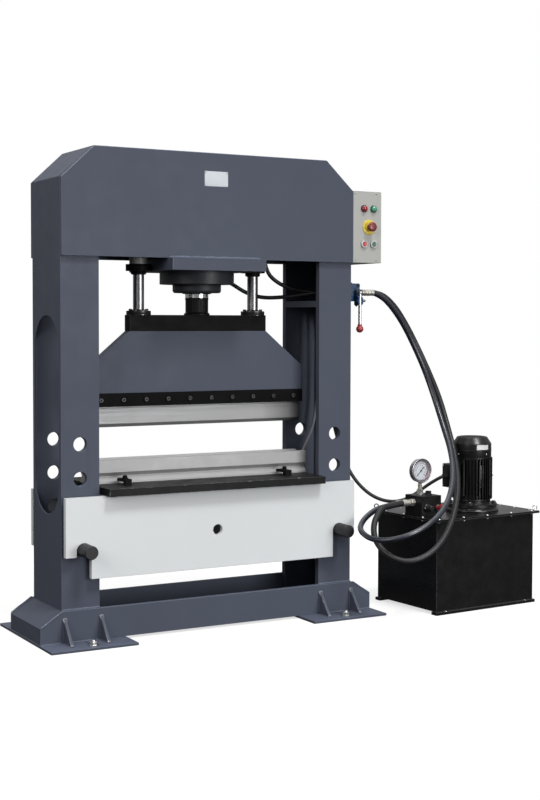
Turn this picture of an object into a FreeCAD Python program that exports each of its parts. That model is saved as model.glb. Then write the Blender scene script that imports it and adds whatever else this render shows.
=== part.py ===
# Workshop hydraulic press with a bending tool, and its separate hydraulic power unit.
# Millimetres. X to the right seen from the front, Y to the rear, Z up.
# Origin: floor level, centre of the press frame.
import FreeCAD, Part
import os, math

V = FreeCAD.Vector
os.makedirs("parts", exist_ok=True)

# ---------------------------------------------------------------- driving sizes
# frame
COL_IN, COL_OUT = 467.0, 615.0        # |X| of a column's inner and outer side
SIDE_T = 5.0                          # column side sheet
FL_IN, FL_OUT = 120.0, 145.0          # |Y| of the column flange plates
PL_OUT = 160.0                        # |Y| of the head's and base's outer faces
FOOT_X0, FOOT_X1, FOOT_Y, FOOT_T = 370.0, 704.0, 278.0, 10.0
BASE_TOP, BASE_SH, BASE_X = 125.0, 69.0, 701.0
HEAD_BOT, HEAD_SH, HEAD_TOP = 1403.0, 1684.0, 1800.0
HEAD_TOPX = 490.0
PIN_X, PIN_Z0, PIN_PITCH, PIN_HOLE_R, PIN_R = 541.0, 344.0, 126.0, 26.0, 25.0
WIN_Z0, WIN_Z1, WIN_R = 460.0, 1189.0, 125.0
# cylinder
CYL_PLATE_X, CYL_PLATE_Y, CYL_PLATE_Z0 = 197.0, 200.0, 1358.0
CYL_FL_R, CYL_FL_Z0 = 144.0, 1310.0
CYL_R, CYL_BORE_R, CYL_TOP = 105.0, 80.0, 1700.0
ROD_R = 45.0
RUN = 0.05                            # running clearance, radial
# guides
GX, GROD_R = 246.0, 21.0
# ram
BAR_X, BAR_Y, BAR_Z0, BAR_Z1 = 292.5, 25.0, 1130.0, 1192.0
RAM_X, RAM_SH, RAM_BOT = 456.0, 993.0, 898.0
HOLD_X, HOLD_Y, HOLD_Z0 = 458.0, 30.0, 848.0
BLADE_X, BLADE_TOP, BLADE_EDGE, BLADE_TIP = 455.0, 842.0, 783.0, 770.0
# table
TAB_Y0, TAB_Y1, TAB_TOP, TAB_X = 160.0, 180.0, 534.0, 612.0
BED_X, BED_Y, BED_Z1 = 456.0, 217.0, 563.0
DIE_X, DIE_Y, DIE_TOP = 464.0, 50.0, 650.0
# control box
BOX_X0, BOX_X1, BOX_Y0, BOX_Y1, BOX_Z0, BOX_Z1 = 615.0, 748.0, -160.0, 100.0, 1403.0, 1687.0
# directional valve
VAL_X1, VAL_Y0, VAL_Y1, VAL_Z0, VAL_Z1 = 692.0, -90.0, -10.0, 1250.0, 1322.0
LEV_X, LEV_Y, LEV_Z = 676.0, -116.0, 1252.0
# power unit: its own frame, turned a little on the floor
PU_X, PU_Y, PU_DEG = 877.5, -374.0, 4.0
TANK_A, TANK_B, TANK_Z0, LID_Z0, LID_Z1, LID_OVER = 520.0, 380.0, 12.0, 377.0, 383.0, 19.0
MOT_A, MOT_B = 313.0, 150.0

# ---------------------------------------------------------------- helpers
def box(x0, x1, y0, y1, z0, z1):
    return Part.makeBox(x1 - x0, y1 - y0, z1 - z0, V(x0, y0, z0))

def cz(x, y, r, z0, z1):
    return Part.makeCylinder(r, z1 - z0, V(x, y, z0), V(0, 0, 1))

def cx(y, z, r, x0, x1):
    return Part.makeCylinder(r, x1 - x0, V(x0, y, z), V(1, 0, 0))

def cy(x, z, r, y0, y1):
    return Part.makeCylinder(r, y1 - y0, V(x, y0, z), V(0, 1, 0))

def poly(points, vec):
    w = Part.makePolygon([V(*p) for p in points] + [V(*points[0])])
    return Part.Face(w).extrude(vec)

def prism_y(pts, y0, y1):
    return poly([(x, y0, z) for x, z in pts], V(0, y1 - y0, 0))

def prism_x(pts, x0, x1):
    return poly([(x0, y, z) for y, z in pts], V(x1 - x0, 0, 0))

def prism_z(pts, z0, z1):
    return poly([(x, y, z0) for x, y in pts], V(0, 0, z1 - z0))

def lathe_z(pts, x=0.0, y=0.0):
    w = Part.makePolygon([V(r + x, y, z) for r, z in pts] + [V(pts[0][0] + x, y, pts[0][1])])
    return Part.Face(w).revolve(V(x, y, 0), V(0, 0, 1), 360)

def hexz(x, y, af, z0, z1, turn=0.0):
    r = af / math.sqrt(3.0)
    return prism_z([(x + r * math.cos(math.radians(60 * k + turn)),
                     y + r * math.sin(math.radians(60 * k + turn))) for k in range(6)], z0, z1)

def aim(shape, pos, axis):
    """Move a shape built along +Z at the origin to pos, pointing along axis."""
    s = shape.copy()
    a = V(*axis)
    a.normalize()
    s.Placement = FreeCAD.Placement(V(*pos), FreeCAD.Rotation(V(0, 0, 1), a)).multiply(s.Placement)
    return s

def mx(shape):
    return shape.mirror(V(0, 0, 0), V(1, 0, 0))

def my(shape):
    return shape.mirror(V(0, 0, 0), V(0, 1, 0))

def cut(shape, *tools):
    for t in tools:
        shape = shape.cut(t)
    return shape

def fuse(*shapes):
    s = shapes[0]
    for t in shapes[1:]:
        s = s.fuse(t)
    return s.removeSplitter()

def soft(shape, r, test):
    """Round the straight edges for which test(edge) is true."""
    es = [e for e in shape.Edges if test(e)]
    return shape.makeFillet(r, es) if es else shape

def vert(e):
    a, b = e.Vertexes[0].Point, e.Vertexes[-1].Point
    return abs(a.x - b.x) < 1e-6 and abs(a.y - b.y) < 1e-6 and abs(a.z - b.z) > 1e-6

def P(shape):
    """From the power unit's own frame (a right, b back, z up) to the press frame."""
    s = shape.copy()
    s.Placement = FreeCAD.Placement(V(PU_X, PU_Y, 0), FreeCAD.Rotation(V(0, 0, 1), PU_DEG)).multiply(s.Placement)
    return s

def out(name, *solids):
    bits = []
    for s in solids:
        bits += s.Solids
    for s in bits:
        assert s.isValid() and s.Volume > 0, name
    c = bits[0] if len(bits) == 1 else Part.makeCompound(bits)
    c.exportStep("parts/%s.step" % name)
    NAMES.append((name, len(bits), sum(s.Volume for s in bits)))

NAMES = []

def tube(name, pts, dia):
    """A hose or cable: straight runs joined by tangent arcs, one swept round bar."""
    p = [V(*q) for q in pts]
    edges, last = [], p[0]
    low = 1e9
    for i in range(1, len(p) - 1):
        a, b = p[i] - p[i - 1], p[i + 1] - p[i]
        la, lb = a.Length, b.Length
        a.normalize()
        b.normalize()
        th = math.acos(max(-1.0, min(1.0, a.dot(b))))
        r = 0.45 * min(la, lb) / math.tan(th / 2)
        low = min(low, r)
        t = 0.45 * min(la, lb)
        s, e = p[i] - a * t, p[i] + b * t
        n = b - a
        n.normalize()
        mid = p[i] + n * (r / math.cos(th / 2) - r)
        edges.append(Part.LineSegment(last, s).toShape())
        edges.append(Part.Arc(s, mid, e).toShape())
        last = e
    edges.append(Part.LineSegment(last, p[-1]).toShape())
    wire = Part.Wire(edges)
    d0 = p[1] - p[0]
    ring = Part.Wire([Part.Circle(p[0], d0, dia / 2.0).toShape()])
    s = wire.makePipeShell([ring], True, True)
    want = math.pi * dia * dia / 4 * wire.Length
    print("%-16s length %7.1f  smallest radius %6.1f (%.1f diameters)  volume / section x length %.4f"
          % (name, wire.Length, low, low / dia, s.Volume / want))
    out(name, s)
    return wire.Length

# ---------------------------------------------------------------- welded frame
# column flange plates: front and rear of each column, with four cross holes for the support pins
def flange(y0, y1):
    s = box(COL_IN, COL_OUT - SIDE_T, y0, y1, FOOT_T, HEAD_SH)
    for k in range(4):
        s = s.cut(cy(PIN_X, PIN_Z0 + 1 + k * PIN_PITCH, PIN_HOLE_R, y0 - 1, y1 + 1))
    return s
fl = [flange(-FL_OUT, -FL_IN), flange(FL_IN, FL_OUT)]

# outer side sheet with a long window
def side(r):
    s = box(COL_OUT - SIDE_T, COL_OUT, -FL_OUT, FL_OUT, FOOT_T, HEAD_SH)
    z0, z1 = WIN_Z0 + r, WIN_Z1 - r
    w = fuse(box(COL_OUT - 9, COL_OUT + 4, -r, r, z0, z1),
             cx(0, z0, r, COL_OUT - 9, COL_OUT + 4), cx(0, z1, r, COL_OUT - 9, COL_OUT + 4))
    return s.cut(w)
left_side = mx(side(WIN_R))
s = side(98.0)                                 # narrower on the side with the valve
for y in (-60.0, -25.0):                       # ways through for the valve's inner unions
    s = s.cut(cx(y, 1286, 15.0, COL_OUT - 9, COL_OUT + 4))
for y in (30.0, 60.0):                         # cable entries from the control box
    s = s.cut(cx(y, 1440, 8.0, COL_OUT - 9, COL_OUT + 4))
right_side = s

sh = box(COL_IN, COL_OUT - SIDE_T, -FL_IN, FL_IN, 1225, 1250)
shr = cut(sh, cz(587, 26, 17, 1220, 1255), cz(592, 61, 15, 1220, 1255))
out("left_column", *([mx(s) for s in fl] + [left_side, mx(sh)]))
out("right_column", *(fl + [right_side, shr]))

head_pts = [(-COL_OUT, HEAD_BOT), (COL_OUT, HEAD_BOT), (COL_OUT, HEAD_SH), (HEAD_TOPX, HEAD_TOP),
            (-HEAD_TOPX, HEAD_TOP), (-COL_OUT, HEAD_SH)]
head = [prism_y(head_pts, -PL_OUT, -FL_OUT), prism_y(head_pts, FL_OUT, PL_OUT)]
cham = prism_y([(HEAD_TOPX, HEAD_TOP), (COL_OUT, HEAD_SH), (606.2, HEAD_SH), (487.6, HEAD_TOP - 6)], -FL_OUT, FL_OUT)
topp = prism_y([(-HEAD_TOPX, HEAD_TOP), (HEAD_TOPX, HEAD_TOP), (487.6, HEAD_TOP - 6), (-487.6, HEAD_TOP - 6)], -FL_OUT, FL_OUT)
head += [cham, mx(cham), topp]

base_pts = [(-COL_OUT, BASE_TOP), (COL_OUT, BASE_TOP), (BASE_X, BASE_SH), (BASE_X, FOOT_T),
            (-BASE_X, FOOT_T), (-BASE_X, BASE_SH)]
base = [prism_y(base_pts, -PL_OUT, -FL_OUT), prism_y(base_pts, FL_OUT, PL_OUT)]
slope = prism_y([(COL_OUT, BASE_TOP), (BASE_X, BASE_SH), (BASE_X - 5, BASE_SH - 2.7), (COL_OUT, BASE_TOP - 6)], -FL_OUT, FL_OUT)
endp = prism_y([(BASE_X - 5, FOOT_T), (BASE_X, FOOT_T), (BASE_X, BASE_SH), (BASE_X - 5, BASE_SH - 2.7)], -FL_OUT, FL_OUT)
base += [slope, endp, mx(slope), mx(endp)]

BOLT_X, BOLT_Y = 533.0, 245.0
foot = cut(box(FOOT_X0, FOOT_X1, -FOOT_Y, FOOT_Y, 0, FOOT_T),
           cz(BOLT_X, -BOLT_Y, 9, -1, 12), cz(BOLT_X, BOLT_Y, 9, -1, 12))
base += [foot, mx(foot)]
gus = []
for gx in (463.0, 605.0):
    gus.append(prism_x([(-160, 10), (-235, 10), (-235, 14), (-168, 98), (-160, 98)], gx, gx + 8))
gus += [my(g) for g in gus]
gus += [mx(g) for g in gus]
out("base_frame", *(base + gus))
# levelling bolts: hexagon head over a washer, shank down to the floor
def foot_bolt(x, y):
    return fuse(cz(x, y, 8.5, 0.5, 12), cz(x, y, 15, 10, 13), hexz(x, y, 24, 13, 25))
fb = [foot_bolt(BOLT_X, y) for y in (-BOLT_Y, BOLT_Y)]
out("foot_bolts", *(fb + [mx(b) for b in fb]))

# ---------------------------------------------------------------- cylinder
mp = box(-CYL_PLATE_X, CYL_PLATE_X, -CYL_PLATE_Y, CYL_PLATE_Y, CYL_PLATE_Z0, HEAD_BOT)
head.append(mp.cut(cz(0, 0, CYL_R, 1300, 1450)))
bar = lathe_z([(CYL_BORE_R, CYL_FL_Z0), (CYL_FL_R, CYL_FL_Z0), (CYL_FL_R, CYL_PLATE_Z0), (CYL_R, CYL_PLATE_Z0),
               (CYL_R, CYL_TOP), (0, CYL_TOP), (0, CYL_TOP - 30), (CYL_BORE_R, CYL_TOP - 30)])
bar = bar.cut(cx(0, 1655, 8, 70, 110))                                   # upper port
pa = math.radians(30.0)                                                  # lower port, in the flange
pdir = (math.cos(pa), math.sin(pa), 0.0)
lp = aim(Part.makeCylinder(8, 80), (75 * pdir[0], 75 * pdir[1], 1334), pdir)
bar = bar.cut(lp)
out("cylinder_barrel", bar)
# gland: closes the barrel's lower end; a groove for the rod seal
gl = lathe_z([(ROD_R + RUN, 1277), (88.5, 1277), (94, 1284), (94, CYL_FL_Z0), (CYL_BORE_R, CYL_FL_Z0),
              (CYL_BORE_R, 1330), (ROD_R + RUN, 1330), (ROD_R + RUN, 1300), (53, 1300), (53, 1290), (ROD_R + RUN, 1290)])
gl = gl.cut(lp)
# with the rod seal in its groove
out("cylinder_gland", gl, lathe_z([(ROD_R + RUN, 1290), (53, 1290), (53, 1300), (ROD_R + RUN, 1300)]))

# ---------------------------------------------------------------- ram guides fixed to the head
sup = []
for sx in (-1, 1):
    pl = box(sx * GX - 50, sx * GX + 50, -FL_OUT, FL_OUT, 1425, 1450)
    bo = cz(sx * GX, 0, 34, 1383, 1460)
    sup.append(fuse(pl, bo).cut(cz(sx * GX, 0, 27, 1300, 1500)))
out("head_frame", *(head + sup))
out("guide_bushes", *[lathe_z([(GROD_R + RUN, 1347), (29.5, 1347), (29.5, 1358), (48.5, 1358), (48.5, 1383), (27, 1383), (27, 1460), (GROD_R + RUN, 1460)], sx * GX, 0) for sx in (-1, 1)])

# ---------------------------------------------------------------- table, bending die
def table_plate(y0, y1):
    pts = [(-TAB_X, TAB_TOP), (TAB_X, TAB_TOP), (TAB_X, 318), (569, 318), (569, 341), (513, 341), (513, 236),
           (-513, 236), (-513, 341), (-569, 341), (-569, 318), (-TAB_X, 318)]
    s = prism_y(pts, y0, y1)
    for x in (-PIN_X, PIN_X):                          # round top of the seat on the pin
        s = s.cut(cy(x, 341.05, 28.0, y0 - 1, y1 + 1))
    return s.cut(cy(0, 381, 19.5, y0 - 1, y1 + 1))
out("table_frame", table_plate(-TAB_Y1, -TAB_Y0), table_plate(TAB_Y0, TAB_Y1), *[box(x - 7.5, x + 7.5, -TAB_Y0, TAB_Y0, 330, TAB_TOP) for x in (-445, -150, 150, 445)])
bed = box(-BED_X, BED_X, -BED_Y, BED_Y, TAB_TOP, BED_Z1)
CL_X, STUD_Y = 342.0, -90.0
for sx in (-1, 1):
    bed = bed.cut(cz(sx * CL_X, STUD_Y, 6.0, 500, 600))
out("table_bed_plate", bed)
die = [(-50, 563), (-50, 571), (-36, 585), (-36, 590), (-50, 604), (-50, 650), (-28, 650), (-2, 624), (2, 624),
       (28, 650), (50, 650), (50, 604), (36, 590), (36, 585), (50, 571), (50, 563)]
out("v_die", prism_x(die, -DIE_X, DIE_X))
# strap clamps: the nose bears on the die's foot, the heel on the bed plate, a stud and nut pull them down
STRAP = [(-49.6, 571.6), (-44, 577.2), (-47, 582), (-56, 584), (-124, 584), (-124, 563), (-113, 563), (-110, 573), (-60, 573), (-55, 571.6)]
straps = [prism_x(STRAP, x - 13, x + 13).cut(cz(x, STUD_Y, 6.0, 500, 620)) for x in (-CL_X, CL_X)]
studs = [fuse(cz(x, STUD_Y, 6.0, 538, 596), cz(x, STUD_Y, 11, 584, 586), hexz(x, STUD_Y, 17, 586, 594)) for x in (-CL_X, CL_X)]
out("die_clamps", *(straps + studs))
pin = cy(PIN_X, PIN_Z0, PIN_R, -254.6, 254.6)
pin = pin.makeChamfer(2.0, [e for e in pin.Edges if e.Curve.TypeId == "Part::GeomCircle"])
out("support_pins", pin, mx(pin))

# ---------------------------------------------------------------- ram
prod = fuse(cz(0, 0, ROD_R, 1258, 1565), cz(0, 0, 25, 1216, 1258))
pist = lathe_z([(0, 1560), (60, 1560), (72, 1565), (CYL_BORE_R - RUN, 1572), (CYL_BORE_R - RUN, 1585), (76, 1586), (76, 1596),
                (CYL_BORE_R - RUN, 1597), (CYL_BORE_R - RUN, 1613), (72, 1620), (0, 1620)])
out("piston_rod", fuse(prod, pist))
out("rod_coupling", lathe_z([(0, BAR_Z1), (50, BAR_Z1), (50, 1196), (43.5, 1203), (43.5, 1258), (25, 1258), (25, 1216), (0, 1216)]))
grods, gsc = [], []
for sx in (-1, 1):
    g = cz(sx * GX, 0, GROD_R, BAR_Z1, 1562)
    g = g.makeChamfer(2.0, [e for e in g.Edges if e.Curve.TypeId == "Part::GeomCircle" and e.BoundBox.ZMin > 1500])
    f = fuse(g, cz(sx * GX, 0, 46.5, BAR_Z1, 1207))
    for k in range(4):
        a = math.radians(45 + 90 * k)
        x, y = sx * GX + 33 * math.cos(a), 33 * math.sin(a)
        f = f.cut(cz(x, y, 4, 1190, 1210))
        sc = fuse(cz(x, y, 6.5, 1207, 1215).cut(hexz(x, y, 5, 1210.5, 1216)), cz(x, y, 4, BAR_Z1 + 0.0, 1207))
        gsc.append(sc)
    grods.append(f)
out("guide_rods", *grods)
bart = box(-BAR_X, BAR_X, -BAR_Y, BAR_Y, BAR_Z0, BAR_Z1)
out("ram_bar", bart)
out("ram_plate", prism_y([(-BAR_X, BAR_Z0), (BAR_X, BAR_Z0), (RAM_X, RAM_SH), (RAM_X, RAM_BOT), (-RAM_X, RAM_BOT), (-RAM_X, RAM_SH)], -BAR_Y, BAR_Y))
HB = [46.0 + 92.0 * k for k in range(5)]
HB = sorted([-x for x in HB] + HB)
hold = box(-HOLD_X, HOLD_X, -HOLD_Y, HOLD_Y, HOLD_Z0, RAM_BOT).cut(box(-HOLD_X - 1, HOLD_X + 1, -8, 8, HOLD_Z0 - 1, 882))
for x in HB:
    hold = hold.cut(cy(x, 873, 5, -HOLD_Y - 1, -7))
out("blade_holder", hold)
out("ram_screws", *(gsc + [fuse(cy(x, 873, 8, -38, -HOLD_Y), cy(x, 873, 5, -HOLD_Y, -8)).cut(cy(x, 873, 4, -39, -34)) for x in HB]))
out("bending_blade", prism_x([(-15, BLADE_TOP), (-15, BLADE_EDGE), (-1, BLADE_TIP), (1, BLADE_TIP), (15, BLADE_EDGE), (15, BLADE_TOP),
                             (8, BLADE_TOP), (8, 882), (-8, 882), (-8, BLADE_TOP)], -BLADE_X, BLADE_X))

# ---------------------------------------------------------------- control box on the right column
R1, R2, RE, ZL, ZE, ZB = 665.0, 710.0, 688.4, 1618.0, 1545.0, 1477.0
cb = box(BOX_X0, BOX_X1, BOX_Y0, BOX_Y1, BOX_Z0, BOX_Z1)
cb = cb.cut(box(BOX_X0 + 2, BOX_X1 - 2, BOX_Y0 + 2, BOX_Y1 - 2, BOX_Z0 + 2, BOX_Z1 - 2))
cb = cb.cut(box(BOX_X0 + 1, 731.8, BOX_Y0 - 1, BOX_Y0 + 2, BOX_Z0 + 1, BOX_Z1 - 1))   # front opening
rim = box(BOX_X0 + 2, 734, BOX_Y0 + 2, BOX_Y0 + 3.5, BOX_Z0 + 2, BOX_Z1 - 2).cut(box(BOX_X0 + 12, 722, BOX_Y0, BOX_Y0 + 5, BOX_Z0 + 12, BOX_Z1 - 12))
cb = fuse(cb, rim)
for y in (30.0, 60.0):
    cb = cb.cut(cx(y, 1440, 8.0, BOX_X0 - 1, BOX_X0 + 4))
out("control_box", cb)
cv = box(BOX_X0 + 1.2, 731.5, BOX_Y0, BOX_Y0 + 2, BOX_Z0 + 1.2, BOX_Z1 - 1.2)
HOLES = [(R1, ZL, 11.0), (R2, ZL, 11.0), (RE, ZE, 11.0), (R1, ZB, 11.0), (R2, ZB, 11.0)]
for x, z, r in HOLES:
    cv = cv.cut(cy(x, z, r, BOX_Y0 - 1, BOX_Y0 + 4))
out("control_cover", cv)
def along_y(pts, x, z):
    """Turned piece: profile (radius, y), axis along Y at x, z."""
    w = Part.makePolygon([V(x + r, y, z) for r, y in pts] + [V(x + pts[0][0], pts[0][1], z)])
    return Part.Face(w).revolve(V(x, 0, z), V(0, 1, 0), 360)
FY = BOX_Y0
def lamp(x):
    return along_y([(0, FY - 15), (6, FY - 14), (10.5, FY - 11), (13, FY - 7), (14, FY), (11, FY), (11, FY + 24), (0, FY + 24)], x, ZL)
out("pilot_lamps", lamp(R1), lamp(R2))
rings = [along_y([(10.0, FY - 8), (13, FY - 8), (14.5, FY - 6), (14.5, FY), (11, FY), (11, FY + 14), (10.0, FY + 14)], x, ZB) for x in (R1, R2)]
def push(x):
    return along_y([(0, FY - 9), (9, FY - 9), (9.9, FY - 8), (9.9, FY + 10), (4, FY + 10), (4, FY + 18), (0, FY + 18)], x, ZB)
out("button_red", push(R1))
out("button_green", push(R2))
rings.append(along_y([(10.6, FY - 4), (28, FY - 4), (30, FY - 2), (30, FY), (11, FY), (11, FY + 20), (10.6, FY + 20)], RE, ZE))
out("control_rings", *rings)
out("stop_button", along_y([(0, FY - 34), (12, FY - 33), (18, FY - 30.5), (19, FY - 28), (19, FY - 24), (16, FY - 19), (10.5, FY - 16),
                           (10.5, FY + 12), (4, FY + 12), (4, FY + 20), (0, FY + 20)], RE, ZE))
# switch blocks clipped behind the cover
blk = []
for x, z, y0 in ((R1, ZL, FY + 24), (R2, ZL, FY + 24), (RE, ZE, FY + 28), (R1, ZB, FY + 26), (R2, ZB, FY + 26)):
    blk.append(box(x - 14, x + 14, y0, y0 + 30, z - 18, z + 18))
out("switch_blocks", *blk)

# ---------------------------------------------------------------- directional valve on the right column
vb = box(COL_OUT, VAL_X1, VAL_Y0, VAL_Y1, VAL_Z0, VAL_Z1)
vb = soft(vb, 5, lambda e: abs(e.Vertexes[0].Y - e.Vertexes[-1].Y) > 1 and e.Vertexes[0].X > VAL_X1 - 1)
SPZ, SP_R = 1286.0, 7.0
vb = vb.cut(cy(LEV_X, SPZ, SP_R + RUN, VAL_Y0 - 1, VAL_Y1 + 1))
for y in (-60.0, -25.0):
    vb = vb.cut(cx(y, SPZ, 10.0, VAL_X1 - 8, VAL_X1 + 1)).cut(cx(y, SPZ, 5, LEV_X, VAL_X1))
    vb = vb.cut(cx(y, SPZ, 10.0, COL_OUT - 1, COL_OUT + 8)).cut(cx(y, SPZ, 5, COL_OUT, LEV_X))
vb = fuse(vb, cy(LEV_X, SPZ, 14, VAL_Y1, VAL_Y1 + 26).cut(cy(LEV_X, SPZ, SP_R + 1.5, VAL_Y1 - 1, VAL_Y1 + 22)))
out("valve_body", vb)
tongue = box(LEV_X - 2.5, LEV_X + 2.5, -124, -103, SPZ - 5, SPZ + 5)
spool = fuse(along_y([(0, -106), (4, -106), (SP_R, -101), (SP_R, -78), (4.5, -75), (4.5, -66), (SP_R, -63), (SP_R, -40), (4.5, -37), (4.5, -28),
                      (SP_R, -25), (SP_R, -2), (0, -2)], LEV_X, SPZ), tongue)
spool = spool.cut(box(LEV_X - 4, LEV_X + 4, LEV_Y - 2.2, LEV_Y + 2.2, SPZ - 3.2, SPZ + 3.2))
out("valve_spool", spool)
# bracket: two cheeks under the spool's nose, carrying the lever's pivot
ck = [(VAL_Y0, 1276), (VAL_Y0, 1236), (-104, 1228), (-124, 1240), (-124, 1262), (-106, 1276)]
cheek_l = prism_x(ck, LEV_X - 11, LEV_X - 7.2).cut(cx(LEV_Y, LEV_Z, 4.05, LEV_X - 20, LEV_X + 20))
cheek_r = prism_x(ck, LEV_X + 7.2, LEV_X + 11).cut(cx(LEV_Y, LEV_Z, 4.05, LEV_X - 20, LEV_X + 20))
back = box(LEV_X - 11, LEV_X + 11, VAL_Y0 - 4, VAL_Y0, 1250, 1276)
out("lever_bracket", fuse(cheek_l, cheek_r, back))
lev = cz(LEV_X, LEV_Y, 6.5, 1150, 1296)
lev = lev.cut(box(LEV_X - 2.7, LEV_X + 2.7, LEV_Y - 10, LEV_Y + 10, 1277, 1300))
lev = lev.cut(cx(LEV_Y, LEV_Z, 4.0, LEV_X - 10, LEV_X + 10)).cut(cx(LEV_Y, SPZ, 2.0, LEV_X - 10, LEV_X + 10))
# the pivot pin and the small drive pin are pressed into the lever
out("valve_lever", fuse(lev, cx(LEV_Y, LEV_Z, 4.0, LEV_X - 13, LEV_X + 20), cx(LEV_Y, LEV_Z, 5.5, LEV_X + 12, LEV_X + 24),
    cx(LEV_Y, SPZ, 2.0, LEV_X - 6, LEV_X + 6)))
ball = Part.makeSphere(15, V(LEV_X, LEV_Y, 1138)).cut(cz(LEV_X, LEV_Y, 6.5, 1150, 1160))
out("lever_ball", ball)

# ---------------------------------------------------------------- hose unions: hexagon nut and crimped ferrule
def union(pos, axis, length, hose_r, af=27.0):
    """Built from the port face outwards; the hose starts at its end face."""
    s = fuse(Part.makeCylinder(9.0, 8.0, V(0, 0, -8)), hexz(0, 0, af, 0, 20), Part.makeCylinder(11.0, 6, V(0, 0, 20)),
             Part.makeCylinder(hose_r + 3.0, length - 26, V(0, 0, 26)))
    return aim(s, pos, axis)
def local(a, b, z):
    q = math.radians(PU_DEG)
    return (PU_X + a * math.cos(q) - b * math.sin(q), PU_Y + a * math.sin(q) + b * math.cos(q), z)
q = math.radians(PU_DEG)
left = (-math.cos(q), -math.sin(q), 0.0)
un = [union((VAL_X1, -60, SPZ), (1, 0, 0), 84, 10), union((VAL_X1, -25, SPZ), (1, 0, 0), 84, 10),
      union(local(0, 187, 430), left, 60, 10), union(local(0, 144, 437), left, 60, 10),
      union((COL_OUT, -60, SPZ), (-1, 0, 0), 55, 8, 24), union((COL_OUT, -25, SPZ), (-1, 0, 0), 55, 8, 24)]
ub = aim(fuse(Part.makeCylinder(8.0, 10.0, V(0, 0, -10)), hexz(0, 0, 24, 1, 20), Part.makeCylinder(11.0, 35, V(0, 0, 20)), Part.makeCylinder(8.0, 2.0)),
         (math.sqrt(CYL_FL_R ** 2 - 0) * pdir[0], CYL_FL_R * pdir[1], 1334), pdir)
ut = fuse(cx(0, 1655, 8, 92, 106), aim(hexz(0, 0, 24, 106, 125), (0, 0, 1655), (1, 0, 0)), cx(0, 1655, 11, 125, 165))
out("hose_unions", *(un + [ub, ut]))

# ---------------------------------------------------------------- power unit
tank = box(0, TANK_A, 0, TANK_B, TANK_Z0, LID_Z0).cut(box(4, TANK_A - 4, 4, TANK_B - 4, TANK_Z0 + 5, LID_Z0 + 1))
rimo = box(-LID_OVER, TANK_A + LID_OVER, -LID_OVER, TANK_B + LID_OVER, LID_Z0 - 4, LID_Z0).cut(box(4, TANK_A - 4, 4, TANK_B - 4, LID_Z0 - 6, LID_Z0 + 1))
SCR = [(a, -10.0) for a in (3.5, 130.5, 256.5, 386.5, 501.5)] + [(a, TANK_B + 10.0) for a in (3.5, 130.5, 256.5, 386.5, 501.5)] + \
      [(-10.0, b) for b in (76, 196, 315)] + [(TANK_A + 10.0, b) for b in (36, 126, 216, 306)]
tank = fuse(tank, rimo, box(-6, TANK_A + 6, -9, 24, 0, TANK_Z0), box(-6, TANK_A + 6, TANK_B - 24, TANK_B + 9, 0, TANK_Z0))
for a, b in SCR:
    tank = tank.cut(cz(a, b, 3.0, LID_Z0 - 6, LID_Z0 + 1))
out("oil_tank", P(tank))
lid = box(-LID_OVER, TANK_A + LID_OVER, -LID_OVER, TANK_B + LID_OVER, LID_Z0, LID_Z1)
for a, b in SCR:
    lid = lid.cut(cz(a, b, 3.0, LID_Z0 - 1, LID_Z1 + 1))
lid = lid.cut(cz(MOT_A, MOT_B, 62, LID_Z0 - 1, LID_Z1 + 1))
FB_A, FB_B = 150.0, 330.0
lid = lid.cut(cz(FB_A, FB_B, 18, LID_Z0 - 1, LID_Z1 + 1))
EYE_A, EYE_B = 527.0, -3.0
out("tank_lid", P(lid))
scr = [P(fuse(cz(a, b, 3.0, LID_Z0 - 10, LID_Z1), cz(a, b, 5.5, LID_Z1, LID_Z1 + 4), cz(a, b, 5.0, LID_Z0 - 9, LID_Z0 - 4))) for a, b in SCR]
def eye_bolt(a, b, d):
    return P(fuse(Part.makeTorus(8.5, 2.2, V(a, b, LID_Z1 + 12.5), V(*d)), cz(a, b, 4.5, LID_Z1, LID_Z1 + 3.5)))
eyes = [eye_bolt(EYE_A, EYE_B, (0.55, 0.83, 0)), eye_bolt(-7.0, 383.0, (0.80, -0.60, 0))]
out("filler_cap", P(fuse(cz(FB_A, FB_B, 17.5, LID_Z0 - 30, LID_Z1 + 8), cz(FB_A, FB_B, 26, LID_Z1, LID_Z1 + 8),
                         cz(FB_A, FB_B, 16, LID_Z1 + 8, LID_Z1 + 22), cz(FB_A, FB_B, 24, LID_Z1 + 22, LID_Z1 + 40))))
# pump carrier between the motor and the lid
out("pump_carrier", P(lathe_z([(60, 383), (112, 383), (112, 391), (102, 402), (60, 402)], MOT_A, MOT_B)))
# motor: flange, end bell and finned case, hollow round the rotor
core = lathe_z([(58, 402), (105, 402), (105, 414), (76, 414), (75, 416), (75, 448), (71, 448), (71, 600), (77, 600), (77, 606), (58, 606)], MOT_A, MOT_B)
fins = []
for k in range(40):
    d = 9.0 * k
    if 150 < d < 210:
        continue
    f = box(68, 85, -1.4, 1.4, 434, 604)
    f.rotate(V(0, 0, 0), V(0, 0, 1), d)
    f.translate(V(MOT_A, MOT_B, 0))
    fins.append(f)
core = core.fuse(fins).removeSplitter()
out("motor_case", P(core))
mb = []
for k in range(4):
    a = math.radians(45 + 90 * k)
    x, y = MOT_A + 91 * math.cos(a), MOT_B + 91 * math.sin(a)
    mb.append(P(hexz(x, y, 17, 414, 424, 15)))
out("unit_fasteners", *(scr + eyes + mb))
cowl = lathe_z([(77, 604), (80, 604), (80, 663), (62, 690), (0, 690), (0, 687), (60.5, 687), (77, 662)], MOT_A, MOT_B)
out("fan_cowl", P(cowl))
tb = box(MOT_A - 115, MOT_A - 70, MOT_B - 20, MOT_B + 52, 482, 580)
tb = soft(tb, 5, lambda e: abs(e.Vertexes[0].Y - e.Vertexes[-1].Y) > 1 and e.Vertexes[0].X < MOT_A - 114)
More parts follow.
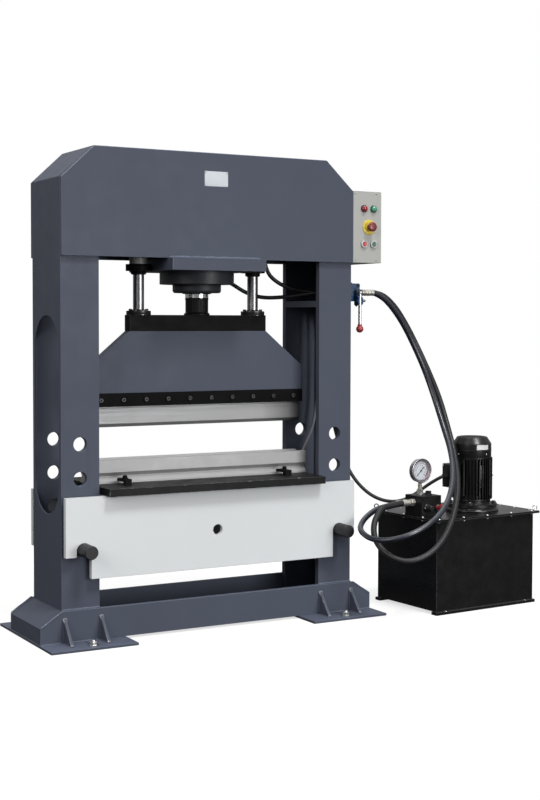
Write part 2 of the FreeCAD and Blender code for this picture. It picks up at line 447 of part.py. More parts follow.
out("terminal_box", P(tb.cut(lathe_z([(0, 440), (71, 440), (71, 610), (0, 610)], MOT_A, MOT_B))))
# rotor and shaft, fan, coupling, pump
rot = fuse(cz(MOT_A, MOT_B, 52, 440, 590), cz(MOT_A, MOT_B, 12, 400, 660))
hub = cz(MOT_A, MOT_B, 22, 622, 652).cut(cz(MOT_A, MOT_B, 12, 600, 700))
blades = []
for k in range(7):
    f = box(20, 64, -1.5, 1.5, 622, 652)
    f.rotate(V(0, 0, 0), V(0, 0, 1), 360.0 * k / 7)
    f.translate(V(MOT_A, MOT_B, 0))
    blades.append(f)
# coupling sleeve pressed on the motor shaft, with the pump's shaft below
out("motor_rotor", P(rot), P(hub.fuse(blades).removeSplitter()), P(fuse(cz(MOT_A, MOT_B, 26, 352, 400), cz(MOT_A, MOT_B, 9, 301, 352))))
pump = fuse(cz(MOT_A, MOT_B, 56, 330, 345), box(MOT_A - 45, MOT_A + 45, MOT_B - 40, MOT_B + 40, 240, 330))
pump = pump.cut(cz(MOT_A, MOT_B, 9 + RUN, 300, 400))
legs = [cz(MOT_A + 49 * math.cos(math.radians(t)), MOT_B + 49 * math.sin(math.radians(t)), 5, 345, 383) for t in (0, 120, 240)]
strainer = fuse(cz(MOT_A - 20, MOT_B, 35, 40, 130), cz(MOT_A - 20, MOT_B, 10, 130, 240))
out("oil_pump", P(fuse(pump, strainer, *legs)))
# valve block with relief cartridge, hand knob, plug and gauge
blkk = box(0, 101, 95, 200, 383, 464)
blkk = blkk.cut(cy(28, 417, 10, 90, 125)).cut(cy(80, 417, 6.05, 90, 125)).cut(cz(35, 150, 9, 454, 468)).cut(cz(71, 140, 9, 454, 468))
for b, z in ((187.0, 430.0), (144.0, 437.0)):
    blkk = blkk.cut(cx(b, z, 9, -1, 8))
blkk = fuse(blkk, cz(71, 140, 9, 454, 464), cz(71, 140, 13.5, 464, 468), hexz(71, 140, 22, 468, 479))
out("manifold_block", P(blkk))
out("relief_cartridge", P(fuse(along_y([(0, 60), (9, 60), (12, 63), (12, 80), (15, 82), (15, 95), (10, 95), (10, 125), (0, 125)], 28, 417))))
out("relief_knob", P(along_y([(0, 52), (11, 52), (13.5, 54), (14, 60), (14, 72), (10, 76), (8, 80), (8, 94.7), (6, 94.7), (6, 118), (0, 118)], 80, 417)))
GA, GB, GZ = 35.0, 150.0, 563.0
stem = fuse(cz(GA, GB, 9, 454, 464), hexz(GA, GB, 25, 464, 487), cz(GA, GB, 9, 487, 501), cz(GA, GB, 6.5, 501, 517))
case = along_y([(0, GB + 14), (44, GB + 14), (50, GB + 9), (50, GB - 14), (46, GB - 14), (46, GB - 4), (0, GB - 4)], GA, GZ)
case = fuse(case, box(GA - 7, GA + 7, GB - 7, GB + 7, 511, 519), stem)
out("pressure_gauge", P(case.cut(cy(GA, GZ, 2.05, GB - 6, GB + 2))))
# needle at zero, pointing down and to the left; its spindle turns in the case
na = math.radians(225)
ca, sa = math.cos(na), math.sin(na)
nd = prism_y([(GA - 22 * ca - 1.6 * sa, GZ - 22 * sa + 1.6 * ca), (GA - 22 * ca + 1.6 * sa, GZ - 22 * sa - 1.6 * ca),
              (GA + 36 * ca + 0.5 * sa, GZ + 36 * sa - 0.5 * ca), (GA + 36 * ca - 0.5 * sa, GZ + 36 * sa + 0.5 * ca)], GB - 8, GB - 7)
out("gauge_needle", P(fuse(nd, cy(GA, GZ, 4, GB - 8, GB - 6.5), cy(GA, GZ, 2.0, GB - 6.5, GB + 1))))

# ---------------------------------------------------------------- cable glands
gld = [fuse(box(588, 610, 30 - 9, 30 + 9, 1431, 1449), cz(588, 30, 9, 1425, 1449), cx(30, 1440, 7.9, 608, 617)),
       fuse(box(588, 610, 60 - 9, 60 + 9, 1431, 1449), cz(588, 60, 9, 1425, 1449), cx(60, 1440, 7.9, 608, 617))]
mot = local(MOT_A, MOT_B, 0)
GL_TIP = (1046.0, -185.5, 530.0)
gdir = (math.cos(q), math.sin(q), 0.0)
tb_face = (mot[0] - 115 * gdir[0], mot[1] - 115 * gdir[1])
dist = (tb_face[0] - GL_TIP[0]) * gdir[0] + (tb_face[1] - GL_TIP[1]) * gdir[1]
gld.append(aim(fuse(Part.makeCylinder(11, 9), Part.makeCylinder(13, dist - 9, V(0, 0, 9))), GL_TIP, gdir))
out("cable_glands", *gld)

# ---------------------------------------------------------------- hoses and cables
tube("hose_pressure", [(776, -60, 1286), (818.8, -59.0, 1273.2), (875.2, -52.0, 1228.3), (935.7, -44.0, 1162.1), (991.5, -42.0, 1073.5),
     (1038.0, -58.0, 967.8), (1058.5, -101.0, 849.9), (1050.4, -175.0, 735.7), (1033.9, -254.0, 638.8), (970.8, -358.0, 540.2),
     (884.9, -432.0, 447.9), (769.9, -480.0, 383.5), (646.7, -474.0, 338.9), (570.8, -393.0, 321.8), (563.4, -291.0, 348.4),
     (619.4, -230.0, 380.3), (692.6, -206.0, 414.3), (748.2, -197.4, 423.0), local(-60, 187, 430)], 22.0)
tube("hose_return", [(776, -25, 1286), (831.5, -24.0, 1288.5), (905.8, -18.0, 1240.6), (971.9, -14.0, 1158.2), (1031.6, -14.0, 1061.3),
     (1074.0, -38.0, 956.6), (1096.8, -84.0, 848.6), (1092.3, -146.0, 738.5), (1078.8, -217.0, 628.1), (1012.4, -336.0, 500.5),
     (911.1, -429.0, 372.2), (798.5, -480.0, 281.1), (690.1, -469.0, 239.0), (623.5, -421.0, 257.5), (596.6, -355.0, 311.9),
     (623.9, -298.0, 372.8), (684.9, -260.0, 423.6), (737.8, -241.2, 431.5), local(-60, 144, 437)], 24.0)
tube("hose_cylinder_top", [(165, 0, 1655), (243, 10, 1640), (305, 32, 1570), (327, 54, 1472), (338, 60, 1368), (400, 60, 1318),
     (470, 28, 1292), (525, -10, 1286), (560, -25, 1286)], 16.0)
b0 = ((CYL_FL_R + 55) * pdir[0], (CYL_FL_R + 55) * pdir[1], 1334.0)
tube("hose_cylinder_low", [b0, (224, 121, 1315), (272, 112, 1284), (332, 82, 1262), (408, 40, 1265), (472, -12, 1276), (520, -46, 1284),
     (560, -60, 1286)], 16.0)
tube("motor_cable", [(588, 30, 1425), (587, 27, 1310), (583, 20, 1160), (580, 2, 1000), (584, -30, 860), (594, -58, 735), (616, -80, 638),
     (648, -90, 556), (700, -101, 490), (762, -112, 446), (832, -120, 427), (898, -124, 433), (958, -134, 464), (1003, -168, 508), GL_TIP], 14.0)
tube("supply_lead", [(588, 60, 1425), (590, 61, 1320), (593, 62, 1180), (596, 64, 1030), (595, 67, 910), (586.9, 73, 812), (573, 86, 718),
     (537, 90, 648), (508, 84, 572), (492, 78, 480), (490, 75, 385), (503, 73, 308), (540, 70, 247), (580, 66, 195), (598, 50, 130),
     (592, 24, 75), (585, 6, 50), (576, -19.3, 34)], 12.0)
# the rest of the lead lies in a small coil on the foot plate, inside the base, and ends in its plug
out("supply_lead_coil", lathe_z([(52, 13), (55, 10), (89, 10), (92, 13), (92, 22), (86, 35), (58, 35), (52, 22)], 500.0, 0.0))
tube("supply_lead_tail", [(469, -85.2, 16), (440, -85.5, 16), (400, -84, 18.5), (352, -84, 27)], 12.0)
plug = fuse(cx(-84, 27, 9, 334, 352), cx(-84, 27, 13, 322, 334), cx(-84, 27, 23, 262, 322), cx(-84, 27, 27, 215, 266))
plug = plug.cut(cx(-84, 27, 24, 210, 250))
for k in range(5):
    t = math.radians(72 * k + 90)
    plug = fuse(plug, cx(-84 + 14 * math.cos(t), 27 + 14 * math.sin(t), 2.5, 222, 252))
out("supply_plug", plug)

print(len(NAMES), "nodes,", sum(n for _, n, _ in NAMES), "solids")
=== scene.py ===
import bpy, bmesh, math, random
from mathutils import Vector, Matrix


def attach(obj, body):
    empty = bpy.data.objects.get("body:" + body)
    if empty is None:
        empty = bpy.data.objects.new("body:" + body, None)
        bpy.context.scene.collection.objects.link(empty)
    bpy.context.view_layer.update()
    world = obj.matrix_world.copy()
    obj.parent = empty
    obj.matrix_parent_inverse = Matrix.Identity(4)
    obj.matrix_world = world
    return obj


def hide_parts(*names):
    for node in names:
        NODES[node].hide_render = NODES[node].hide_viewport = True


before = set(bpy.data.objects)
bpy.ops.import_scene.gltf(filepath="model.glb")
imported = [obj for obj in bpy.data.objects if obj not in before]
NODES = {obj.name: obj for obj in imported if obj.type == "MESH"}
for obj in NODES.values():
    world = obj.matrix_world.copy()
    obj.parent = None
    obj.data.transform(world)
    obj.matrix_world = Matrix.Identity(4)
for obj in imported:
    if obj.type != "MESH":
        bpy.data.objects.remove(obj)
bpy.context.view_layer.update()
rng = random.Random(7)
MM = 0.001
scene = bpy.context.scene
scene.view_settings.view_transform = "Standard"
scene.view_settings.look = "None"
scene.view_settings.exposure = 0.0

# ------------------------------------------------------------------ camera
YAW, PITCH, ROLL = math.radians(29.19), math.radians(-2.32), math.radians(0.12)
cam_data = bpy.data.cameras.new("camera")
cam = bpy.data.objects.new("camera", cam_data)
scene.collection.objects.link(cam)
cam.location = (-2.4444, -4.9189, 1.1743)
fwd = Vector((math.sin(YAW) * math.cos(PITCH), math.cos(YAW) * math.cos(PITCH), math.sin(PITCH)))
quat = fwd.to_track_quat("-Z", "Y")
cam.rotation_mode = "QUATERNION"
cam.rotation_quaternion = quat @ Matrix.Rotation(ROLL, 4, "Z").to_quaternion()
cam_data.sensor_width = 36.0
cam_data.lens = 1415.17 * 36.0 / 800.0
cam_data.shift_x = (270.0 - 265.06) / 800.0
cam_data.shift_y = (377.11 - 400.0) / 800.0
cam_data.clip_start, cam_data.clip_end = 0.1, 200.0
scene.camera = cam

# ------------------------------------------------------------------ node helpers
def new_mat(name):
    m = bpy.data.materials.new(name)
    m.use_nodes = True
    nt = m.node_tree
    bsdf = nt.nodes["Principled BSDF"]
    return m, nt, bsdf

def N(nt, kind, **props):
    n = nt.nodes.new(kind)
    for k, v in props.items():
        setattr(n, k, v)
    return n

def coords(nt, scale=(1, 1, 1), rot=(0, 0, 0)):
    tc = N(nt, "ShaderNodeTexCoord")
    mp = N(nt, "ShaderNodeMapping")
    mp.inputs["Scale"].default_value = scale
    mp.inputs["Rotation"].default_value = rot
    nt.links.new(tc.outputs["Object"], mp.inputs["Vector"])
    return mp.outputs["Vector"]

def noise(nt, vec, scale, detail=3.0, rough=0.5, dist=0.0):
    n = N(nt, "ShaderNodeTexNoise")
    n.inputs["Scale"].default_value = scale
    n.inputs["Detail"].default_value = detail
    n.inputs["Roughness"].default_value = rough
    n.inputs["Distortion"].default_value = dist
    nt.links.new(vec, n.inputs["Vector"])
    return n.outputs["Fac"]

def ramp(nt, fac, stops):
    r = N(nt, "ShaderNodeValToRGB")
    el = r.color_ramp.elements
    while len(el) < len(stops):
        el.new(0.5)
    for e, (p, c) in zip(el, stops):
        e.position = p
        e.color = (c[0], c[1], c[2], 1.0) if isinstance(c, (tuple, list)) else (c, c, c, 1.0)
    nt.links.new(fac, r.inputs["Fac"])
    return r.outputs["Color"]

def maprange(nt, fac, lo, hi, a=0.0, b=1.0):
    m = N(nt, "ShaderNodeMapRange")
    m.inputs["From Min"].default_value = a
    m.inputs["From Max"].default_value = b
    m.inputs["To Min"].default_value = lo
    m.inputs["To Max"].default_value = hi
    nt.links.new(fac, m.inputs["Value"])
    return m.outputs["Result"]

def mix(nt, fac, a, b):
    m = N(nt, "ShaderNodeMix", data_type="RGBA")
    nt.links.new(fac, m.inputs["Factor"])
    for sock, v in ((m.inputs[6], a), (m.inputs[7], b)):
        if isinstance(v, (tuple, list)):
            sock.default_value = (v[0], v[1], v[2], 1.0)
        else:
            nt.links.new(v, sock)
    return m.outputs[2]

def math_node(nt, op, a, b=None):
    m = N(nt, "ShaderNodeMath", operation=op)
    for k, v in enumerate((a, b)):
        if v is None:
            continue
        if isinstance(v, (int, float)):
            m.inputs[k].default_value = v
        else:
            nt.links.new(v, m.inputs[k])
    return m.outputs[0]

def bump(nt, bsdf, height, strength, dist, prev=None):
    b = N(nt, "ShaderNodeBump")
    b.inputs["Strength"].default_value = strength
    b.inputs["Distance"].default_value = dist
    nt.links.new(height, b.inputs["Height"])
    if prev is not None:
        nt.links.new(prev, b.inputs["Normal"])
    nt.links.new(b.outputs["Normal"], bsdf.inputs["Normal"])
    return b.outputs["Normal"]

def shade(c, k):
    return tuple(min(1.0, v * k) for v in c)

# ------------------------------------------------------------------ materials
MATS = {}

def paint(name, col, rough=0.42, peel=0.12, peel_scale=420.0, mottle=0.07, spec=0.5, coat=0.0, scuff=None, scuff_amt=0.0, lines=None, line_amt=0.0, speck=None, painted_top_light=0.0):
    """Sprayed paint: orange peel, slight mottling, rubbed patches and fine scratches."""
    m, nt, b = new_mat(name)
    v = coords(nt)
    big = noise(nt, v, 2.3, 4.0, 0.55)
    mid = noise(nt, v, 17.0, 4.0, 0.6)
    c = mix(nt, maprange(nt, big, 0.0, 1.0, 0.3, 0.7), shade(col, 1 - mottle), shade(col, 1 + mottle))
    c = mix(nt, maprange(nt, mid, 0.0, 0.35, 0.5, 0.8), c, shade(col, 1 + 1.6 * mottle))
    rgh = maprange(nt, mid, rough - 0.06, rough + 0.08, 0.3, 0.7)
    if scuff is not None:
        sc = noise(nt, coords(nt, (1, 1, 1), (0.2, 0.4, 0.1)), 55.0, 8.0, 0.75, 0.4)
        mask = maprange(nt, sc, 0.0, 1.0, 0.66 - scuff_amt, 0.72 - scuff_amt)
        c = mix(nt, mask, c, scuff)
    if lines is not None:
        for rot, sc_ in (((0.0, 0.12, 0.0), (5, 300, 330)), ((0.3, -0.7, 0.2), (7, 380, 360)), ((0.0, 1.45, 0.1), (6, 350, 300))):
            fine = noise(nt, coords(nt, sc_, rot), 1.0, 2.0, 0.5)
            c = mix(nt, maprange(nt, fine, 0.0, line_amt, 0.70, 0.80), c, lines)
    if speck is not None:
        d = noise(nt, v, 210.0, 3.0, 0.7)
        c = mix(nt, maprange(nt, d, 0.0, 0.7, 0.66, 0.74), c, speck)
    if painted_top_light:
        # painted top light: faces that look straight up are drawn lighter, as light from above shows them
        geo = N(nt, "ShaderNodeNewGeometry")
        sz = N(nt, "ShaderNodeSeparateXYZ")
        nt.links.new(geo.outputs["True Normal"], sz.inputs[0])
        up_ = maprange(nt, sz.outputs["Z"], 0.0, 1.0, 0.93, 0.995)
        c = mix(nt, math_node(nt, "MULTIPLY", up_, maprange(nt, mid, 0.75, 1.0, 0.3, 0.7)), c, shade(col, painted_top_light))
    nt.links.new(c, b.inputs["Base Color"])
    nt.links.new(rgh, b.inputs["Roughness"])
    b.inputs["Specular IOR Level"].default_value = spec
    if coat:
        b.inputs["Coat Weight"].default_value = coat
        b.inputs["Coat Roughness"].default_value = 0.12
    bump(nt, b, noise(nt, v, peel_scale, 2.0, 0.5), peel, 0.0006)
    MATS[name] = m
    return m

def steel(name, col=(0.58, 0.59, 0.60), rough=0.30, grain=(6, 500, 500), grain_amt=0.25, metallic=1.0, tint=None, stain=0.12, darken_along_x=None):
    """Ground or rolled steel: fine lines one way, faint stains, uneven gloss."""
    m, nt, b = new_mat(name)
    g = noise(nt, coords(nt, grain), 1.0, 3.0, 0.6)
    big = noise(nt, coords(nt), 9.0, 5.0, 0.6)
    c = mix(nt, maprange(nt, g, 0.0, 1.0, 0.3, 0.7), shade(col, 1 - grain_amt * 0.5), shade(col, 1 + grain_amt * 0.4))
    c = mix(nt, maprange(nt, big, 0.0, stain * 3, 0.5, 0.75), c, tint or shade(col, 0.7))
    # darker towards +X: between X = x0 and x1 the colour falls to k times itself
    if darken_along_x is not None:
        x0, x1, k = darken_along_x
        sx = N(nt, "ShaderNodeSeparateXYZ")
        nt.links.new(coords(nt), sx.inputs[0])
        c = mix(nt, maprange(nt, sx.outputs["X"], 0.0, 1.0, x0, x1), c, shade(col, k))
    nt.links.new(c, b.inputs["Base Color"])
    nt.links.new(maprange(nt, g, rough - 0.07, rough + 0.13, 0.3, 0.7), b.inputs["Roughness"])
    b.inputs["Metallic"].default_value = metallic
    bump(nt, b, g, 0.06, 0.0004)
    MATS[name] = m
    return m

def plastic(name, col, rough=0.3, grain=0.05, scale=900.0, spec=0.5, mottle=0.05, coat=0.0, alpha=1.0):
    m, nt, b = new_mat(name)
    v = coords(nt)
    big = noise(nt, v, 40.0, 3.0, 0.6)
    nt.links.new(mix(nt, maprange(nt, big, 0.0, 1.0, 0.3, 0.7), shade(col, 1 - mottle), shade(col, 1 + mottle)), b.inputs["Base Color"])
    nt.links.new(maprange(nt, big, rough - 0.04, rough + 0.06, 0.3, 0.7), b.inputs["Roughness"])
    b.inputs["Specular IOR Level"].default_value = spec
    if coat:
        b.inputs["Coat Weight"].default_value = coat
        b.inputs["Coat Roughness"].default_value = 0.08
    if alpha < 1.0:
        b.inputs["Alpha"].default_value = alpha
    bump(nt, b, noise(nt, v, scale, 2.0, 0.5), grain, 0.0004)
    MATS[name] = m
    return m

FRAME_C = (0.0672, 0.0775, 0.1070)
# the frame paint gets painted top light: up-facing faces drawn 1.5 times lighter
paint("frame_paint", FRAME_C, rough=0.50, spec=0.13, mottle=0.05, painted_top_light=1.5)
# painted edge highlight: lighter copies of the frame paint for the bevelled edges of columns, base and head, with
# rubbed patches
paint("frame_edge_highlight", shade(FRAME_C, 1.45), rough=0.42, spec=0.28, scuff=(0.20, 0.21, 0.235), scuff_amt=0.04)
paint("head_edge_highlight", shade(FRAME_C, 1.9), rough=0.36, spec=0.5, scuff=(0.30, 0.31, 0.34), scuff_amt=0.06)
paint("dark_paint", (0.027, 0.029, 0.036), rough=0.42, spec=0.25, mottle=0.06)
paint("black_steel", (0.0046, 0.0046, 0.0051), rough=0.52, spec=0.07, peel=0.16, lines=(0.034, 0.034, 0.036), line_amt=0.26)
paint("coupling_black", (0.0060, 0.0060, 0.0066), rough=0.36, spec=0.12, peel=0.08)
paint("holder_black", (0.0032, 0.0032, 0.0036), rough=0.50, spec=0.05, peel=0.16, lines=(0.028, 0.028, 0.030), line_amt=0.3, scuff=(0.020, 0.020, 0.021), scuff_amt=0.03)
paint("bed_black", (0.0070, 0.0070, 0.0077), rough=0.44, spec=0.15, peel=0.16, lines=(0.042, 0.042, 0.042), line_amt=0.3, scuff=(0.030, 0.030, 0.031), scuff_amt=0.03)
paint("black_edge", (0.024, 0.024, 0.026), rough=0.40, spec=0.35, scuff=(0.11, 0.11, 0.115), scuff_amt=0.06)
paint("black_edge_dark", (0.012, 0.012, 0.013), rough=0.34, spec=0.42, scuff=(0.05, 0.05, 0.052), scuff_amt=0.02)
paint("black_chipped", (0.030, 0.030, 0.032), rough=0.42, spec=0.3, scuff=(0.34, 0.34, 0.35), scuff_amt=0.10)
# painted edge highlight: a much lighter glossy black for the bevelled rims of the tank, pump carrier and cowl
paint("black_edge_highlight", (0.050, 0.051, 0.054), rough=0.24, spec=0.55, peel=0.05)
paint("screw_black", (0.013, 0.013, 0.014), rough=0.30, spec=0.5, peel=0.05)
paint("pin_black", (0.013, 0.013, 0.014), rough=0.42, spec=0.35, scuff=(0.10, 0.10, 0.10), scuff_amt=0.03)
paint("pin_face", (0.016, 0.016, 0.017), rough=0.42, spec=0.35, scuff=(0.30, 0.30, 0.30), scuff_amt=0.05)
paint("table_paint", (0.64, 0.665, 0.68), rough=0.42, mottle=0.018, spec=0.3)
paint("table_edge", (0.47, 0.50, 0.51), rough=0.42, mottle=0.05, scuff=(0.30, 0.30, 0.30), scuff_amt=0.06)
paint("box_paint", (0.390, 0.393, 0.374), rough=0.42, mottle=0.02, peel=0.22, peel_scale=600.0, spec=0.25)
paint("box_edge", (0.47, 0.475, 0.455), rough=0.38, mottle=0.02, peel=0.1, peel_scale=600.0, spec=0.45)
paint("seam_grey", (0.13, 0.13, 0.125), rough=0.5, spec=0.3)
paint("unit_black", (0.0066, 0.0066, 0.0070), rough=0.26, spec=0.36, peel=0.05, peel_scale=200.0, mottle=0.04)
paint("lid_black", (0.0058, 0.0058, 0.0062), rough=0.20, spec=0.26, peel=0.04, peel_scale=180.0, mottle=0.04, speck=(0.03, 0.03, 0.03))
# painted edge highlight: the lid's bevelled rim is about ten times lighter than the lid
paint("lid_edge_highlight", (0.060, 0.061, 0.064), rough=0.22, spec=0.6, peel=0.04)
paint("motor_black", (0.0062, 0.0062, 0.0066), rough=0.30, spec=0.42, peel=0.10, peel_scale=500.0, mottle=0.05)
paint("block_black", (0.0066, 0.0066, 0.0070), rough=0.40, spec=0.28, peel=0.08)
paint("valve_blue", (0.012, 0.056, 0.150), rough=0.34, peel=0.3, peel_scale=350.0, mottle=0.10, spec=0.45)
paint("valve_dark", (0.008, 0.012, 0.022), rough=0.38, peel=0.3, peel_scale=350.0, mottle=0.10, spec=0.4)
# painted highlight: the weld beads take lighter copies of the frame paint (1.12 and 1.75 times), with rubbed patches
paint("weld_paint", shade(FRAME_C, 1.12), rough=0.34, spec=0.5, peel=0.1, scuff=(0.20, 0.205, 0.215), scuff_amt=0.05)
paint("weld_light", shade(FRAME_C, 1.75), rough=0.36, spec=0.4, peel=0.1, scuff=(0.24, 0.245, 0.265), scuff_amt=0.08)
paint("screw_worn", (0.011, 0.011, 0.012), rough=0.32, spec=0.45, peel=0.05, scuff=(0.10, 0.10, 0.10), scuff_amt=0.08)
paint("plate_pale", (0.54, 0.57, 0.62), rough=0.45, spec=0.3, mottle=0.02)
# painted highlight: the gusset welds take a still paler grey than the frame, with rubbed patches
paint("weld_bright", (0.150, 0.158, 0.178), rough=0.30, spec=0.6, peel=0.15, scuff=(0.36, 0.36, 0.37), scuff_amt=0.12)
steel("ground_steel", (0.56, 0.57, 0.585), rough=0.34, tint=(0.42, 0.42, 0.42))
steel("die_steel", (0.34, 0.34, 0.345), rough=0.46, grain=(5, 420, 420), grain_amt=0.12, tint=(0.46, 0.46, 0.465), stain=0.12, metallic=0.45)
steel("die_edge", (0.36, 0.36, 0.36), rough=0.46, grain=(40, 300, 300), grain_amt=0.1, metallic=0.3)
# the blade turns much darker towards its +X end
steel("blade_steel", (0.275, 0.277, 0.281), rough=0.44, grain=(4, 420, 420), grain_amt=0.12, tint=(0.23, 0.23, 0.23), stain=0.12, metallic=0.5, darken_along_x=(0.28, 0.45, 0.15))
steel("bright_edge", (0.66, 0.66, 0.65), rough=0.30, grain=(40, 300, 300), grain_amt=0.15)
steel("chrome", (0.66, 0.67, 0.69), rough=0.14, grain=(300, 300, 8), grain_amt=0.08, stain=0.05)
steel("guide_chrome", (0.27, 0.275, 0.288), rough=0.24, grain=(40, 40, 2), grain_amt=0.06, stain=0.05)
steel("liner_steel", (0.48, 0.48, 0.47), rough=0.45, grain=(60, 60, 400), grain_amt=0.3, metallic=0.3)
steel("zinc", (0.62, 0.61, 0.565), rough=0.36, metallic=0.8, grain=(60, 60, 60), grain_amt=0.3, tint=(0.42, 0.40, 0.33))
steel("bright_zinc", (0.70, 0.70, 0.69), rough=0.24, grain=(80, 80, 80), grain_amt=0.2)
steel("gauge_steel", (0.50, 0.495, 0.51), rough=0.28, grain=(40, 40, 40), grain_amt=0.06)
steel("gauge_ring", (0.16, 0.125, 0.15), rough=0.30, grain=(60, 60, 60), grain_amt=0.10, metallic=0.7)
steel("brass_dull", (0.46, 0.44, 0.35), rough=0.36, metallic=0.7, grain=(60, 60, 300), grain_amt=0.2, tint=(0.24, 0.22, 0.15))
steel("pump_alloy", (0.5, 0.51, 0.52), rough=0.5, grain=(120, 120, 120), grain_amt=0.3)
steel("plate_alu", (0.44, 0.45, 0.47), rough=0.42, grain=(300, 6, 6), grain_amt=0.10, metallic=0.6, stain=0.05)
steel("box_screw", (0.40, 0.40, 0.39), rough=0.35, grain=(80, 80, 80), grain_amt=0.2)
plastic("seal_rubber", (0.014, 0.014, 0.014), rough=0.6)
plastic("red_plastic", (0.36, 0.016, 0.020), rough=0.28, coat=0.3)
plastic("soft_red", (0.42, 0.055, 0.055), rough=0.36)
plastic("soft_green", (0.060, 0.150, 0.110), rough=0.36)
plastic("mushroom_red", (0.185, 0.022, 0.028), rough=0.34, coat=0.15)
plastic("ball_red", (0.33, 0.040, 0.040), rough=0.26, coat=0.25)
plastic("lamp_red", (0.26, 0.016, 0.028), rough=0.18, coat=0.5)
plastic("lamp_green", (0.045, 0.300, 0.170), rough=0.18, coat=0.5)
plastic("yellow_plastic", (0.66, 0.50, 0.045), rough=0.34, coat=0.15)
plastic("white_plastic", (0.56, 0.57, 0.56), rough=0.28)
plastic("black_plastic", (0.014, 0.014, 0.015), rough=0.40, grain=0.12)
plastic("dial_white", (0.60, 0.64, 0.69), rough=0.4)
plastic("dial_black", (0.015, 0.015, 0.015), rough=0.5)
plastic("dial_blue", (0.03, 0.05, 0.12), rough=0.5)
plastic("dial_red", (0.30, 0.045, 0.075), rough=0.4)
plastic("gauge_glass", (0.8, 0.82, 0.82), rough=0.06, alpha=0.10, grain=0.01)
plastic("glass_pale", (0.45, 0.42, 0.30), rough=0.12, grain=0.01)
plastic("cable_black", (0.012, 0.012, 0.013), rough=0.38, grain=0.10)
plastic("cable_grey", (0.235, 0.235, 0.262), rough=0.45, grain=0.10)
plastic("label_pale", (0.64, 0.65, 0.64), rough=0.35)

def hose_mat(name, col, rough, spec, coat):
    """Rubber hose: fine wrapped-cloth print, slightly uneven gloss."""
    m, nt, b = new_mat(name)
    v = coords(nt)
    big = noise(nt, v, 14.0, 4.0, 0.6)
    nt.links.new(mix(nt, maprange(nt, big, 0.0, 1.0, 0.35, 0.7), shade(col, 0.8), shade(col, 1.3)), b.inputs["Base Color"])
    nt.links.new(maprange(nt, big, rough - 0.05, rough + 0.10, 0.3, 0.7), b.inputs["Roughness"])
    b.inputs["Specular IOR Level"].default_value = spec
    b.inputs["Coat Weight"].default_value = coat
    b.inputs["Coat Roughness"].default_value = 0.22
    w = N(nt, "ShaderNodeTexWave", wave_type="BANDS", bands_direction="DIAGONAL")
    w.inputs["Scale"].default_value = 130.0
    w.inputs["Distortion"].default_value = 1.0
    nt.links.new(v, w.inputs["Vector"])
    bump(nt, b, w.outputs["Fac"], 0.03, 0.0003)
    MATS[name] = m
    return m
hose_mat("hose_rubber", (0.012, 0.012, 0.014), 0.42, 0.36, 0.08)
hose_mat("hose_blue_black", (0.011, 0.014, 0.024), 0.30, 0.55, 0.30)

# ------------------------------------------------------------------ mesh helpers
def obj_from(name, bm, mat, body="press", smooth=35.0, ride=True):
    me = bpy.data.meshes.new(name)
    bmesh.ops.recalc_face_normals(bm, faces=bm.faces)
    bm.to_mesh(me)
    bm.free()
    o = bpy.data.objects.new(name, me)
    scene.collection.objects.link(o)
    for k in (mat if isinstance(mat, (list, tuple)) else [mat]):
        me.materials.append(MATS[k])
    me.polygons.foreach_set("use_smooth", [True] * len(me.polygons))
    me.set_sharp_from_angle(angle=math.radians(smooth))
    if ride:
        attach(o, body)
    return o

def basis(axis):
    a = Vector(axis).normalized()
    u = Vector((0, 0, 1)) if abs(a.z) < 0.9 else Vector((0, 1, 0))
    x = u.cross(a).normalized()
    y = a.cross(x).normalized()
    return x, y, a

def add_lathe(bm, prof, pos, axis, seg=48, mat=0, radial=None):
    """prof: (radius, along) in mm; closed at radius 0 ends."""
    x, y, a = basis(axis)
    p0 = Vector(pos)
    rings = []
    for r, h in prof:
        c = p0 + a * (h * MM)
        if r <= 1e-6:
            rings.append([bm.verts.new(c)])
        else:
            ring = []
            for k in range(seg):
                t = 2 * math.pi * k / seg
                rr = r * (radial(t, h) if radial else 1.0)
                ring.append(bm.verts.new(c + (x * math.cos(t) + y * math.sin(t)) * (rr * MM)))
            rings.append(ring)
    for A, B in zip(rings, rings[1:]):
        for k in range(seg):
            j = (k + 1) % seg
            if len(A) == 1 and len(B) == 1:
                continue
            if len(A) == 1:
                f = bm.faces.new((A[0], B[k], B[j]))
            elif len(B) == 1:
                f = bm.faces.new((A[k], A[j], B[0]))
            else:
                f = bm.faces.new((A[k], A[j], B[j], B[k]))
            f.material_index = mat
    return rings

def add_prism(bm, pts, pos, axis, up, depth, mat=0, bevel=0.0):
    """Flat outline pts (u, v) in mm, extruded by depth along axis from pos."""
    a = Vector(axis).normalized()
    v = Vector(up).normalized()
    u = v.cross(a).normalized()
    p0 = Vector(pos)
    lo = [bm.verts.new(p0 + (u * q[0] + v * q[1]) * MM) for q in pts]
    hi = [bm.verts.new(p0 + (u * q[0] + v * q[1] + a * depth) * MM) for q in pts]
    fs = [bm.faces.new(lo[::-1]), bm.faces.new(hi)]
    n = len(pts)
    for k in range(n):
        j = (k + 1) % n
        fs.append(bm.faces.new((lo[k], lo[j], hi[j], hi[k])))
    for f in fs:
        f.material_index = mat
    if bevel:
        es = set()
        for f in fs:
            for e in f.edges:
                es.add(e)
        bmesh.ops.bevel(bm, geom=list(es), offset=bevel * MM, segments=2, affect="EDGES", profile=0.6)
    return fs

